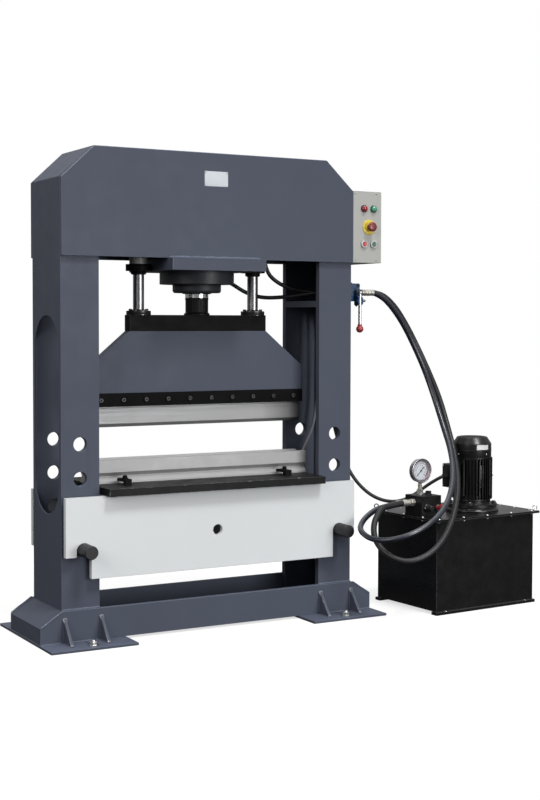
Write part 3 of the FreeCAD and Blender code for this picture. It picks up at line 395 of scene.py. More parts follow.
def rounded(w, h, r, n=5):
    pts = []
    for cx_, cy_, a0 in ((w / 2 - r, h / 2 - r, 0), (-w / 2 + r, h / 2 - r, 90), (-w / 2 + r, -h / 2 + r, 180), (w / 2 - r, -h / 2 + r, 270)):
        for k in range(n + 1):
            t = math.radians(a0 + 90.0 * k / n)
            pts.append((cx_ + r * math.cos(t), cy_ + r * math.sin(t)))
    return pts

def circle(r, n=24, c=(0, 0), turn=0.0):
    return [(c[0] + r * math.cos(2 * math.pi * k / n + turn), c[1] + r * math.sin(2 * math.pi * k / n + turn)) for k in range(n)]

def bead(name, runs, r=4.5, mat="weld_metal", body="press", pitch=5.0, seed=1, up=None):
    """Weld bead: runs of points in mm with the two directions its legs lie along."""
    bm = bmesh.new()
    rr = random.Random(seed)
    for pts, d1, d2 in runs:
        P0 = [Vector(p) for p in pts]
        d1, d2 = Vector(d1).normalized(), Vector(d2).normalized()
        L = sum((b - a).length for a, b in zip(P0, P0[1:]))
        n = max(6, int(L / 1.6))
        rings = []
        ph = rr.random() * 6.28
        for k in range(n + 1):
            s = L * k / n
            q, rem = None, s
            for a, b in zip(P0, P0[1:]):
                l = (b - a).length
                if rem <= l + 1e-9:
                    q = a + (b - a) * (rem / l)
                    break
                rem -= l
            if q is None:
                q = P0[-1]
            e = min(1.0, (min(s, L - s) + 1.0) / (r * 1.2))
            saw = ((s / pitch + ph) % 1.0)
            rad = r * (0.86 + 0.20 * (1 - saw) ** 1.5 + 0.07 * math.sin(s * 0.11 + ph) + 0.05 * (rr.random() - 0.5)) * math.sqrt(max(0.12, e))
            ring = []
            for j in range(7):
                t = j / 6.0
                ang = t * math.pi / 2
                w = rad * (0.74 + 0.30 * math.sin(math.pi * t))
                ring.append(bm.verts.new((q + (d1 * math.cos(ang) + d2 * math.sin(ang)) * w) * MM))
            ring.append(bm.verts.new((q - (d1 + d2) * 0.4) * MM))
            rings.append(ring)
        for A, B in zip(rings, rings[1:]):
            m = len(A)
            for j in range(m):
                i = (j + 1) % m
                bm.faces.new((A[j], A[i], B[i], B[j]))
        bm.faces.new(rings[0][::-1])
        bm.faces.new(rings[-1])
    return obj_from(name, bm, mat, body, 50.0)

def screw_head(bm, pos, axis, r, h, kind="hex_socket", mat=0, mat2=0, turn=0.0):
    """Cap head with a real recess, or a hexagon head on a washer."""
    if kind == "hex_socket":
        sr = r * 0.52
        prof = [(r, 0), (r, h * 0.86), (r * 0.92, h), (sr * 1.05, h), (sr, h * 0.93), (sr, h * 0.35), (0, h * 0.30)]
        x, y, a = basis(axis)
        add_lathe(bm, [(r, 0.0), (r, h * 0.86), (r * 0.92, h), (sr * 1.12, h)], pos, axis, 24, mat)
        add_lathe(bm, [(sr * 1.12, h), (sr, h * 0.95), (sr, h * 0.30), (0, h * 0.30)], pos, axis, 6, mat2)
    elif kind == "cross":
        add_lathe(bm, [(r, 0), (r, h * 0.45), (r * 0.8, h * 0.8), (r * 0.45, h), (0, h)], pos, axis, 20, mat)
        x, y, a = basis(axis)
        p = Vector(pos) + a * (h * MM * 0.985)
        for d in (x, y):
            e = a.cross(d)
            add_prism(bm, [(-r * 0.5, -r * 0.09), (r * 0.5, -r * 0.09), (r * 0.5, r * 0.09), (-r * 0.5, r * 0.09)], p, a, e, 0.06 * h, mat2)
    else:
        add_lathe(bm, [(0, 0), (r * 1.28, 0), (r * 1.28, h * 0.16), (r * 1.22, h * 0.22), (0, h * 0.22)], pos, axis, 28, mat)
        x, y, a = basis(axis)
        rings = []
        p0 = Vector(pos)
        for rr_, hh in ((r * 1.0, 0.22), (r * 1.0, 0.9)):
            rings.append([bm.verts.new(p0 + a * (h * hh * MM) + (x * math.cos(k * math.pi / 3 + turn) + y * math.sin(k * math.pi / 3 + turn)) * (rr_ * MM)) for k in range(6)])
        rings.append([bm.verts.new(p0 + a * (h * MM) + (x * math.cos(k * math.pi / 3 + turn) + y * math.sin(k * math.pi / 3 + turn)) * (r * 0.86 * MM)) for k in range(6)])
        for A, B in zip(rings, rings[1:]):
            for k in range(6):
                f = bm.faces.new((A[k], A[(k + 1) % 6], B[(k + 1) % 6], B[k]))
                f.material_index = mat
        f = bm.faces.new(rings[-1])
        f.material_index = mat

# ------------------------------------------------------------------ cords first
def nurbs_cord(name, pts, dia, mat, nodes):
    cu = bpy.data.curves.new(name, "CURVE")
    cu.dimensions = "3D"
    sp = cu.splines.new("NURBS")
    sp.points.add(len(pts) - 1)
    for p, q in zip(sp.points, pts):
        p.co = (q[0], q[1], q[2], 1.0)
    sp.order_u = 3
    sp.use_endpoint_u = True
    sp.resolution_u = 14
    cu.bevel_depth = dia / 2
    cu.bevel_resolution = 8
    cu.use_fill_caps = True
    o = bpy.data.objects.new(name, cu)
    scene.collection.objects.link(o)
    cu.materials.append(MATS[mat])
    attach(o, "press")
    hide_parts(*nodes)
    return o

Q4 = math.radians(4.0)
def local(a, b, z):
    """Power unit's own frame (mm) to the press frame (m)."""
    return ((877.5 + a * math.cos(Q4) - b * math.sin(Q4)) * MM, (-374.0 + a * math.sin(Q4) + b * math.cos(Q4)) * MM, z * MM)

nurbs_cord("pressure_hose", [
    (0.776, -0.06, 1.286), (0.8188, -0.059, 1.2732), (0.8752, -0.052, 1.2283), (0.9357, -0.044, 1.1621), (0.9915, -0.042, 1.0735),
    (1.038, -0.058, 0.9678), (1.0585, -0.101, 0.8499), (1.0504, -0.175, 0.7357), (1.0339, -0.254, 0.6388), (0.9708, -0.358, 0.5402),
    (0.8849, -0.432, 0.4479), (0.7699, -0.48, 0.3835), (0.6467, -0.474, 0.3389), (0.5708, -0.393, 0.3218), (0.5634, -0.291, 0.3484),
    (0.6194, -0.23, 0.3803), (0.6926, -0.206, 0.4143), (0.7482, -0.1974, 0.423), local(-60, 187, 430)],
    0.022, "hose_blue_black", ["hose_pressure"])
nurbs_cord("return_hose", [
    (0.776, -0.025, 1.286), (0.8315, -0.024, 1.2885), (0.9058, -0.018, 1.2406), (0.9719, -0.014, 1.1582), (1.0316, -0.014, 1.0613),
    (1.074, -0.038, 0.9566), (1.0968, -0.084, 0.8486), (1.0923, -0.146, 0.7385), (1.0788, -0.217, 0.6281), (1.0124, -0.336, 0.5005),
    (0.9111, -0.429, 0.3722), (0.7985, -0.48, 0.2811), (0.6901, -0.469, 0.239), (0.6235, -0.421, 0.2575), (0.5966, -0.355, 0.3119),
    (0.6239, -0.298, 0.3728), (0.6849, -0.26, 0.4236), (0.7378, -0.2412, 0.4315), local(-60, 144, 437)],
    0.024, "hose_rubber", ["hose_return"])
nurbs_cord("cylinder_top_hose", [(0.165, 0.0, 1.655), (0.243, 0.010, 1.640), (0.305, 0.032, 1.570), (0.327, 0.054, 1.472), (0.338, 0.060, 1.368),
    (0.400, 0.060, 1.318), (0.470, 0.028, 1.292), (0.525, -0.010, 1.286), (0.560, -0.025, 1.286)], 0.016, "hose_rubber",
    ["hose_cylinder_top"])
nurbs_cord("cylinder_low_hose", [(0.1723, 0.0995, 1.334), (0.224, 0.121, 1.315), (0.272, 0.112, 1.284), (0.332, 0.082, 1.262), (0.408, 0.040, 1.265),
    (0.472, -0.012, 1.276), (0.520, -0.046, 1.284), (0.560, -0.060, 1.286)], 0.016, "hose_rubber",
    ["hose_cylinder_low"])
nurbs_cord("motor_lead", [
    (0.588, 0.03, 1.425), (0.587, 0.027, 1.31), (0.583, 0.02, 1.16), (0.58, 0.002, 1), (0.584, -0.03, 0.86),
    (0.594, -0.058, 0.735), (0.616, -0.08, 0.638), (0.648, -0.09, 0.556), (0.7, -0.101, 0.49), (0.762, -0.112, 0.446),
    (0.832, -0.12, 0.427), (0.898, -0.124, 0.433), (0.958, -0.134, 0.464), (1.003, -0.168, 0.508), (1.046, -0.1855, 0.530)],
    0.014, "cable_black", ["motor_cable"])
SUPPLY = [(0.588, 0.060, 1.425), (0.590, 0.061, 1.320), (0.593, 0.062, 1.180), (0.596, 0.064, 1.030), (0.595, 0.067, 0.910),
    (0.5869, 0.073, 0.812), (0.573, 0.086, 0.718), (0.537, 0.090, 0.648), (0.508, 0.084, 0.572), (0.492, 0.078, 0.480), (0.490, 0.075, 0.385),
    (0.503, 0.073, 0.308), (0.540, 0.070, 0.247), (0.580, 0.066, 0.195), (0.598, 0.050, 0.130), (0.592, 0.024, 0.075), (0.585, 0.006, 0.050),
    (0.576, -0.0193, 0.034)]
# the spare length: one turn on top, two below it, side by side
for k in range(1, 40):
    th = -20.0 - 1150.0 * k / 39.0
    if th > -380.0:
        r, z = 78.0 - 12.0 * (-20.0 - th) / 360.0, 28.0
    else:
        u = min(1.0, (-380.0 - th) / 30.0)
        z = 28.0 - 12.0 * u
        r = 66.0 - 6.0 * u if u < 1.0 else 60.0 + 25.0 * (-410.0 - th) / 760.0
    r /= math.cos(math.radians(14.74))
    t = math.radians(th)
    SUPPLY.append(((500.0 + r * math.cos(t)) * MM, r * math.sin(t) * MM, z * MM))
SUPPLY += [(0.469, -0.0862, 0.016), (0.440, -0.0855, 0.016), (0.400, -0.084, 0.0185), (0.352, -0.084, 0.027)]
supply = nurbs_cord("mains_lead", SUPPLY, 0.012, "cable_grey", ["supply_lead", "supply_lead_coil", "supply_lead_tail"])

# ------------------------------------------------------------------ CAD nodes: finish and rounded edges
def dress(node, mats, bevel=0.0, seg=2, angle=32.0, edge=None):
    o = NODES[node]
    names = list(mats) if isinstance(mats, (list, tuple)) else [mats]
    me = o.data
    if len(me.materials) == 0:
        me.materials.append(MATS[names[0]])
    for i in range(len(me.materials)):
        me.materials[i] = MATS[names[min(i, len(names) - 1)]]
    if bevel:
        w = o.modifiers.new("weld", "WELD")
        w.merge_threshold = 0.00002
        b = o.modifiers.new("edges", "BEVEL")
        b.width = bevel * MM
        b.segments = seg
        b.limit_method = "ANGLE"
        b.angle_limit = math.radians(angle)
        b.use_clamp_overlap = True
        # the bevel faces take the edge material; several of these are lighter copies of the node's finish, a painted
        # edge highlight
        if edge is not None:
            me.materials.append(MATS[edge])
            b.material = len(me.materials) - 1
    return o

DRESS = {
    "left_column": ("frame_paint", 1.2, "frame_edge_highlight"), "right_column": ("frame_paint", 1.2, "frame_edge_highlight"),
    "head_frame": ("frame_paint", 1.9, "head_edge_highlight"), "base_frame": ("frame_paint", 1.4, "frame_edge_highlight"),
    "foot_bolts": ("zinc", 0, None), "cylinder_barrel": ("dark_paint", 0, None), "cylinder_gland": ("dark_paint", 0.8, "black_edge"),
    "guide_bushes": ("black_steel", 0.6, "black_edge"), "table_frame": ("table_paint", 1.2, "table_edge"),
    "table_bed_plate": ("bed_black", 1.6, "black_chipped"), "v_die": ("die_steel", 0.6, "die_edge"),
    "die_clamps": ("black_steel", 0, None), "support_pins": ("pin_black", 1.6, "black_chipped"), "piston_rod": ("chrome", 0, None),
    "rod_coupling": ("coupling_black", 0, None), "guide_rods": ("guide_chrome", 0, None), "ram_screws": ("black_steel", 0, None),
    "ram_bar": ("black_steel", 1.2, "black_edge"), "ram_plate": ("frame_paint", 1.2, "frame_edge_highlight"),
    "blade_holder": ("holder_black", 0, None), "bending_blade": ("blade_steel", 0.5, "blade_steel"),
    "control_box": ("box_paint", 1.0, "box_paint"), "control_cover": ("box_paint", 0, None), "pilot_lamps": ("lamp_red", 0, None),
    "control_rings": ("white_plastic", 0, None), "button_red": ("soft_red", 0, None), "button_green": ("soft_green", 0, None),
    "stop_button": ("mushroom_red", 0, None), "switch_blocks": ("black_plastic", 0, None), "valve_body": ("valve_blue", 0, None),
    "valve_spool": ("ground_steel", 0, None), "lever_bracket": ("valve_blue", 0.6, "valve_blue"), "valve_lever": ("chrome", 0, None),
    "lever_ball": ("ball_red", 0, None), "hose_unions": ("zinc", 0, None), "cable_glands": ("black_plastic", 0, None),
    "oil_tank": ("unit_black", 0.9, "black_edge_highlight"), "tank_lid": ("lid_black", 0.7, "lid_edge_highlight"), "unit_fasteners": ("zinc", 0, None),
    "filler_cap": ("black_plastic", 0, None), "pump_carrier": ("lid_black", 0.8, "black_edge_highlight"), "motor_case": ("motor_black", 0, None),
    "fan_cowl": ("motor_black", 0.8, "black_edge_highlight"), "terminal_box": ("motor_black", 0, None), "motor_rotor": ("ground_steel", 0, None),
    "oil_pump": ("pump_alloy", 0, None), "manifold_block": ("block_black", 0.8, "black_edge"), "relief_cartridge": ("black_plastic", 0, None),
    "relief_knob": ("red_plastic", 0, None), "pressure_gauge": ("gauge_steel", 0, None), "gauge_needle": ("dial_black", 0, None),
    "supply_plug": ("red_plastic", 0, None)}
for n, (k, bv, ed) in DRESS.items():
    dress(n, k, bv, edge=ed)
for n in ("head_frame", "left_column", "right_column"):
    wn_ = NODES[n].modifiers.new("flat_faces", "WEIGHTED_NORMAL")
    wn_.keep_sharp = True

# ------------------------------------------------------------------ weld beads
def mirror_x(run):
    pts, a, b = run
    return ([(-p[0], p[1], p[2]) for p in pts], (-a[0], a[1], a[2]), (-b[0], b[1], b[2]))

runs = []
for sy in (-1, 1):
    y = 145.0 * sy
    # column foot on top of the base plate: lies in the corner of column flange and plate top
    for sx in (-1, 1):
        runs.append(([(467 * sx, y, 125.2), (614 * sx, y, 125.2)], (0, sy, 0.0), (0, 0, 1)))
for sy in (-1, 1):
    for sx in (-1, 1):
        # seam between the plate's slope and the cover of the foot
        runs.append(([(616 * sx, 159 * sy, 124.6), (700 * sx, 159 * sy, 69.8)], (0, sy * 0.6, 0.0), (0.545 * sx * 0.6, 0, 0.838 * 0.6)))
bead("weld_column_foot", runs, 4.6, "weld_light", seed=3)
runs = []
for sy in (-1, 1):
    for sx in (-1, 1):
        for x in (463, 471, 605, 613):
            side = -1 if x in (463, 605) else 1
            # both sides of each gusset on the base plate and on the foot plate
            runs.append(([(x * sx, 160 * sy, 14), (x * sx, 160 * sy, 96)], (side * sx, 0, 0), (0, sy, 0)))
            runs.append(([(x * sx, 164 * sy, 10), (x * sx, 232 * sy, 10)], (side * sx, 0, 0), (0, 0, 1)))
        # the base plate on the foot plate
        runs.append(([(474 * sx, 160 * sy, 10), (602 * sx, 160 * sy, 10)], (0, sy, 0), (0, 0, 1)))
        runs.append(([(616 * sx, 160 * sy, 10), (699 * sx, 160 * sy, 10)], (0, sy, 0), (0, 0, 1)))
bead("weld_base", runs, 3.6, "weld_light", seed=5, pitch=6.0)
runs = []
for sx in (-1, 1):
    runs.append(([(701.5 * sx, -150, 10), (701.5 * sx, 150, 10)], (1 * sx, 0, 0), (0, 0, 1)))
bead("weld_base_end", runs, 2.3, "weld_paint", seed=6)

def gusset_caps():
    """Rounded run-off weld along each gusset's sloping edge, thicker at its top."""
    bm = bmesh.new()
    rr = random.Random(11)
    for sy in (-1, 1):
        for sx in (-1, 1):
            for x0, x1 in ((463, 471), (605, 613)):
                xc = (x0 + x1) / 2 * sx
                A, B = Vector((xc, 160 * sy, 98)), Vector((xc, 235 * sy, 12))
                d = (B - A).normalized()
                nrm = Vector((0, -d.z * sy, d.y * sy)).normalized()
                if nrm.z < 0:
                    nrm = -nrm
                L = (B - A).length
                n = 46
                rings = []
                for k in range(n + 1):
                    s = k / n
                    c = A + (B - A) * s
                    w = 5.1 + 0.5 * math.sin(s * L * 0.9 + xc) + 0.5 * (rr.random() - 0.5)
                    h = 1.3 + 0.6 * math.sin(s * L * 0.9 + xc + 0.8)
                    if s < 0.16:
                        w += 4.6 * (1 - s / 0.16) ** 0.6
                        h += 4.2 * (1 - s / 0.16)
                    if s > 0.94:
                        w += 1.2
                        h += 1.0
                    ring = []
                    for j in range(8):
                        t = math.pi * j / 7
                        ring.append(bm.verts.new((c + Vector((math.cos(t) * w, 0, 0)) + nrm * (math.sin(t) * h)) * MM))
                    ring.append(bm.verts.new((c - nrm * 2.0 + Vector((-w * 0.7, 0, 0))) * MM))
                    ring.append(bm.verts.new((c - nrm * 2.0 + Vector((w * 0.7, 0, 0))) * MM))
                    rings.append(ring)
                for P, Q in zip(rings, rings[1:]):
                    for j in range(10):
                        i = (j + 1) % 10
                        bm.faces.new((P[j], P[i], Q[i], Q[j]))
                bm.faces.new(rings[0][::-1])
                bm.faces.new(rings[-1])
    # the gusset welds take the palest copy of the frame's tone, a painted highlight
    return obj_from("weld_gussets", bm, "weld_bright", "press", 55.0)
gusset_caps()

# mount plate under the head, head on the columns and ram plate
bead("weld_mount_plate", [([(-194, -160.3, 1403), (194, -160.3, 1403)], (0, -1, 0), (0, 0, 1)), ([(-194, 160.3, 1403), (194, 160.3, 1403)], (0, 1, 0), (0, 0, 1))], 10.5, "weld_light", seed=8, pitch=7.0)
bead("weld_ram_plate", [([(-290, -12.6, 1130), (290, -12.6, 1130)], (0, -1, 0), (0, 0, -1)), ([(-290, 12.6, 1130), (290, 12.6, 1130)], (0, 1, 0), (0, 0, -1))], 3.2, "weld_paint", "ram", seed=9)
runs = []
for sx in (-1, 1):
    for sy in (-1, 1):
        runs.append(([(470 * sx, 145 * sy, 1402), (612 * sx, 145 * sy, 1402)], (0, sy, 0), (0, 0, -1)))
bead("weld_head", runs, 4.0, "weld_paint", seed=10)

# ------------------------------------------------------------------ foot bolts: washer, nut and stud end
bm = bmesh.new()
for sx in (-1, 1):
    for y in (-245, 245):
        lo = Vector((533 * sx * MM, y * MM, 0.010))
        add_lathe(bm, [(9, 0), (18.5, 0), (18.8, 0.6), (18.8, 2.4), (18.0, 3.0), (9, 3.0)], lo, (0, 0, 1), 40, 0)
        n0 = lo + Vector((0, 0, 3.0 * MM))
        add_lathe(bm, [(9, 0), (12.6, 0), (13.8, 1.2), (13.8, 11.2), (12.3, 12.6), (8.2, 12.6), (7.6, 12.0)], n0, (0, 0, 1), 6, 0)
        add_lathe(bm, [(7.9, 6), (7.9, 16.2), (7.0, 18.0), (4.2, 18.6), (0, 18.7)], n0, (0, 0, 1), 28, 0, radial=lambda t, h: 1.0 + 0.02 * math.sin(h * 4.2))
o = obj_from("foot_nuts", bm, "bright_zinc", "press", 30.0)
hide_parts("foot_bolts")

# ------------------------------------------------------------------ control box details
FY = -0.160
def panel_lamp(name, x, mat):
    bm = bmesh.new()
    p = Vector((x, FY, 1.618))
    d = (0, -1, 0)
    add_lathe(bm, [(11, -24), (11, 0), (14.6, 0), (14.8, 1.0), (14.8, 4.2), (13.9, 5.6), (12.6, 6.0), (12.2, 5.2)], p, d, 56, 1)
    prof = [(12.4, 4.6)]
    for k in range(9):
        t = k / 8 * math.pi / 2
        prof.append((12.4 * math.cos(t), 5.4 + 9.4 * math.sin(t)))
    prof[-1] = (0.0, 14.8)
    add_lathe(bm, prof, p, d, 48, 0, radial=lambda t, h: 1.0 + (0.012 * math.cos(24 * t) if 5 < h < 9 else 0.0))
    o = obj_from(name, bm, [mat, "black_plastic"], "press", 38.0)
    return o
la = panel_lamp("lamp_red_left", 0.665, "lamp_red")
lb = panel_lamp("lamp_green_right", 0.710, "lamp_green")
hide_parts("pilot_lamps")
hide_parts("pilot_lamps")

def bezels():
    bm = bmesh.new()
    for x in (0.665, 0.710):
        p = Vector((x, FY, 1.477))
        d = (0, -1, 0)
        add_lathe(bm, [(10.05, -14), (11, -14), (11, 0), (14.7, 0), (14.7, 2.2)], p, d, 56, 1)
        add_lathe(bm, [(14.7, 2.2), (14.5, 6.6), (13.6, 7.9), (12.0, 8.2), (10.6, 7.4), (10.05, 6.0), (10.05, -14)], p, d, 56, 0)
    o = obj_from("button_bezels", bm, ["white_plastic", "black_plastic"], "press", 35.0)
    bm = bmesh.new()
    p = Vector((0.6884, FY, 1.545))
    d = (0, -1, 0)
    add_lathe(bm, [(10.7, -20), (11, -20), (11, 0), (29.9, 0), (29.9, 1.6), (29.2, 2.6), (27.4, 3.4), (21, 3.7), (13.4, 3.8), (12.6, 4.3), (10.7, 4.3), (10.7, -20)], p, d, 72, 0)
    # raised turning arrows, moulded on the ring and blackened
    for k in range(3):
        a0 = math.radians(200 + 120 * k)
        pts = []
        for j in range(7):
            t = a0 + math.radians(7.5 * j)
            pts.append((24.4 * math.cos(t), 24.4 * math.sin(t)))
        tip = a0 + math.radians(62)
        pts.append((26.2 * math.cos(a0 + math.radians(46)), 26.2 * math.sin(a0 + math.radians(46))))
        pts.append((23.3 * math.cos(tip), 23.3 * math.sin(tip)))
        pts.append((20.2 * math.cos(a0 + math.radians(46)), 20.2 * math.sin(a0 + math.radians(46))))
        for j in range(6, -1, -1):
            t = a0 + math.radians(7.5 * j)
            pts.append((22.1 * math.cos(t), 22.1 * math.sin(t)))
        add_prism(bm, pts, p + Vector((0, -0.0033, 0)), d, (0, 0, 1), 0.0007, 1)
    o2 = obj_from("stop_ring", bm, ["yellow_plastic", "black_plastic"], "press", 35.0)
    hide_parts("control_rings")
    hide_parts("control_rings")
bezels()

# mushroom head with grip flutes
bm = bmesh.new()
p = Vector((0.6884, FY, 1.545))
add_lathe(bm, [(0, -20), (4, -20), (4, -12), (10.5, -12), (10.5, 14.5), (12.5, 17.2), (15.2, 18.8), (18.3, 22.6), (19.0, 24.4), (19.0, 28.2), (18.2, 30.6), (16.0, 32.2),
    (12.0, 33.3), (6.0, 33.9), (0, 34.0)], p, (0, -1, 0), 96, 0, radial=lambda t, h: 1.0 - (0.022 * (0.5 + 0.5 * math.cos(24 * t)) if 20 < h < 31 else 0.0))
o = obj_from("stop_mushroom", bm, "mushroom_red", "emergency_button", 40.0)
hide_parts("stop_button")

for nm, x, mt, body in (("off_cap", 0.665, "soft_red", "off_button"), ("start_cap", 0.710, "soft_green", "start_button")):
    bm = bmesh.new()
    add_lathe(bm, [(0, -18), (4, -18), (4, -10), (9.85, -10), (9.85, 7.6), (9.3, 8.5), (8.2, 8.95), (6.5, 8.6), (0, 8.3)], Vector((x, FY, 1.477)), (0, -1, 0), 48, 0)
    o = obj_from(nm, bm, mt, body, 35.0)
    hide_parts("button_red" if nm == "off_cap" else "button_green")

def cover_parts():
    bm = bmesh.new()
    for x, z in ((0.6235, 1.6785), (0.7225, 1.6785), (0.6235, 1.4115), (0.7225, 1.4115)):
        screw_head(bm, Vector((x, FY, z)), (0, -1, 0), 3.0, 1.6, "cross", 0, 1, 0.3)
    o = obj_from("cover_screws", bm, ["box_screw", "black_plastic"], "press", 30.0)
    # rubber seam between cover and box on the far edge
    bm = bmesh.new()
    add_prism(bm, rounded(2.2, 280, 0.9), Vector((0.7326, -0.1565, 1.545)), (0, -1, 0), (0, 0, 1), 0.0025, 0)
    obj_from("cover_seam", bm, "seam_grey", "press", 35.0)
    # dark rubber strip in the joint between the head and the box: painted shade standing in for the shadow in that gap
    bm = bmesh.new()
    add_prism(bm, rounded(3.0, 284, 1.2), Vector((0.6163, -0.150, 1.545)), (0, -1, 0), (0, 0, 1), 0.0085, 0)
    obj_from("box_joint_shade_strip", bm, "seal_rubber", "press", 35.0)
    # hinges on the far side of the box
    bm = bmesh.new()
    for z in (1.46, 1.63):
        add_lathe(bm, [(0, -18), (3.4, -18), (3.8, -17), (3.8, 17), (3.4, 18), (0, 18)], Vector((0.7415, -0.1500, z)), (0, 0, 1), 20, 0)
    obj_from("box_hinges", bm, "box_screw", "press", 35.0)
cover_parts()

# ------------------------------------------------------------------ valve: cast details, plugs and screws
def valve_parts():
    bm = bmesh.new()
    y0 = -0.090
    for x, z in ((0.6225, 1.3130), (0.6845, 1.3130), (0.6225, 1.2590), (0.6845, 1.2590)):
        add_lathe(bm, [(7.2, 0), (7.2, 2.2), (6.4, 3.2), (5.1, 3.2), (4.7, 2.4), (4.7, -0.6), (0, -0.9)], Vector((x, y0, z)), (0, -1, 0), 28, 0)
    # ribs and bosses of the casting
    add_prism(bm, [(-26, -4), (26, -4), (23, 4), (-23, 4)], Vector((0.6535, y0, 1.3020)), (0, -1, 0), (0, 0, 1), 0.0042, 0, 0.8)
    add_prism(bm, [(-22, -5), (6, -5), (4, 5), (-20, 5)], Vector((0.6500, y0, 1.2700)), (0, -1, 0), (0, 0, 1), 0.0052, 0, 1.0)
    add_lathe(bm, [(12.0, 0), (12.0, 5), (10.4, 7.4), (6.6, 7.6), (6.0, 6.6), (6.0, 2.0), (0, 1.6)], Vector((0.6380, y0, 1.2860)), (0, -1, 0), 32, 0)
    # top port boss and plug
    add_lathe(bm, [(10.5, 0), (10.5, 2.8), (9.4, 4.0), (5.6, 4.0), (5.2, 3.0), (5.2, 0.4), (0, 0.2)], Vector((0.6700, -0.050, 1.3220)), (0, 0, 1), 6, 0)
    o = obj_from("valve_casting", bm, ["valve_blue", "valve_dark"], "press", 35.0)
    bm = bmesh.new()
    for x, z in ((0.6225, 1.3130), (0.6845, 1.3130), (0.6225, 1.2590), (0.6845, 1.2590)):
        screw_head(bm, Vector((x, y0 - 0.0002, z)), (0, -1, 0), 4.5, 3.6, "hex_socket", 0, 0)
    obj_from("valve_screws", bm, "black_edge", "press", 35.0)
    # nose seal of the spool and the pivot's split pin
    bm = bmesh.new()
    add_lathe(bm, [(8.4, 0), (12.4, 0), (12.6, 1.5), (11.4, 3.2), (8.4, 3.4)], Vector((0.676, y0, 1.2860)), (0, -1, 0), 32, 0)
    obj_from("spool_seal", bm, "seal_rubber", "press", 35.0)
    bm = bmesh.new()
    add_lathe(bm, [(0, -14), (4.6, -14), (4.6, -8), (5.2, -7.4), (5.2, -3.6), (4.6, -3), (0, -2.9)], Vector((0.7005, -0.116, 1.2520)), (1, 0, 0), 28, 0, radial=lambda t, h: 1 + 0.03 * math.cos(12 * t))
    obj_from("pivot_knob", bm, "black_plastic", "lever", 35.0)
    # ferrule above the ball
    bm = bmesh.new()
    add_lathe(bm, [(6.6, 0), (8.6, 0), (9.2, 1.2), (9.2, 4.4), (8.2, 6.8), (6.6, 7.4)], Vector((0.676, -0.116, 1.1500)), (0, 0, 1), 32, 0)
    obj_from("ball_collar", bm, "ball_red", "lever", 35.0)
valve_parts()

# ------------------------------------------------------------------ hose unions: collars, rings and crimps
def crimp(bm, p, axis, r, length, mat=0, grooves=4):
    prof = [(r - 3.2, 0), (r - 0.6, 0), (r, 0.7)]
    n = grooves
    for k in range(n):
        h0 = 2.0 + (length - 4.0) * k / n
        h1 = 2.0 + (length - 4.0) * (k + 1) / n
        prof += [(r, h0 + 0.8), (r - 1.0, h0 + 1.8), (r - 1.0, h1 - 1.0), (r, h1 - 0.2)]
    prof += [(r, length - 1.2), (r - 0.8, length), (r - 3.2, length)]
    add_lathe(bm, prof, p, axis, 40, mat)
def hexnut(bm, p, axis, af, length, mat=0):
    R = af / math.sqrt(3)
    add_lathe(bm, [(af * 0.30, 0), (R * 0.90, 0), (R, 1.2), (R, length - 1.4), (R * 0.9, length), (af * 0.30, length)], p, axis, 6, mat)
def unions():
    bm = bmesh.new()
    q = Q4
    left = Vector((-math.cos(q), -math.sin(q), 0))
    spec = [(Vector((0.692, -0.060, 1.286)), Vector((1, 0, 0)), 84, 10, 27), (Vector((0.692, -0.025, 1.286)), Vector((1, 0, 0)), 84, 10, 27),
            (Vector(local(0, 187, 430)), left, 60, 10, 27), (Vector(local(0, 144, 437)), left, 60, 10, 27),
            (Vector((0.615, -0.060, 1.286)), Vector((-1, 0, 0)), 55, 8, 24), (Vector((0.615, -0.025, 1.286)), Vector((-1, 0, 0)), 55, 8, 24)]
    for p, a, L, hr, af in spec:
        add_lathe(bm, [(0, -8), (9, -8), (9, 0), (11.6, 0), (11.6, 1.4), (9.4, 1.8)], p, a, 32, 0)
        hexnut(bm, p + a * (1.6 * MM), a, af, 17.0, 0)
        add_lathe(bm, [(9.2, 18.6), (10.4, 19.2), (10.4, 21.4), (9.2, 22.2), (9.2, 25.2), (11.2, 26.0)], p, a, 32, 1)
        crimp(bm, p + a * (26 * MM), a, hr + 3.0, L - 26.0, 0, 4 if L > 70 else 3)
    pd = Vector((0.1723, 0.0995, 0)).normalized()
    p = pd * 0.144 + Vector((0, 0, 1.334))
    add_lathe(bm, [(0, -10), (8, -10), (8, 2)], p, pd, 24, 0)
    hexnut(bm, p + pd * (1.0 * MM), pd, 24, 19.0, 0)
    crimp(bm, p + pd * (20 * MM), pd, 11.0, 35.0, 0, 4)
    p, a = Vector((0.092, 0, 1.655)), Vector((1, 0, 0))
    add_lathe(bm, [(0, 0), (8, 0), (8, 14)], p, a, 24, 0)
    hexnut(bm, p + a * (14 * MM), a, 24, 19.0, 0)
    crimp(bm, p + a * (33 * MM), a, 11.0, 40.0, 0, 4)
    o = obj_from("unions_detailed", bm, ["zinc", "brass_dull"], "press", 32.0)
    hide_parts("hose_unions")
unions()

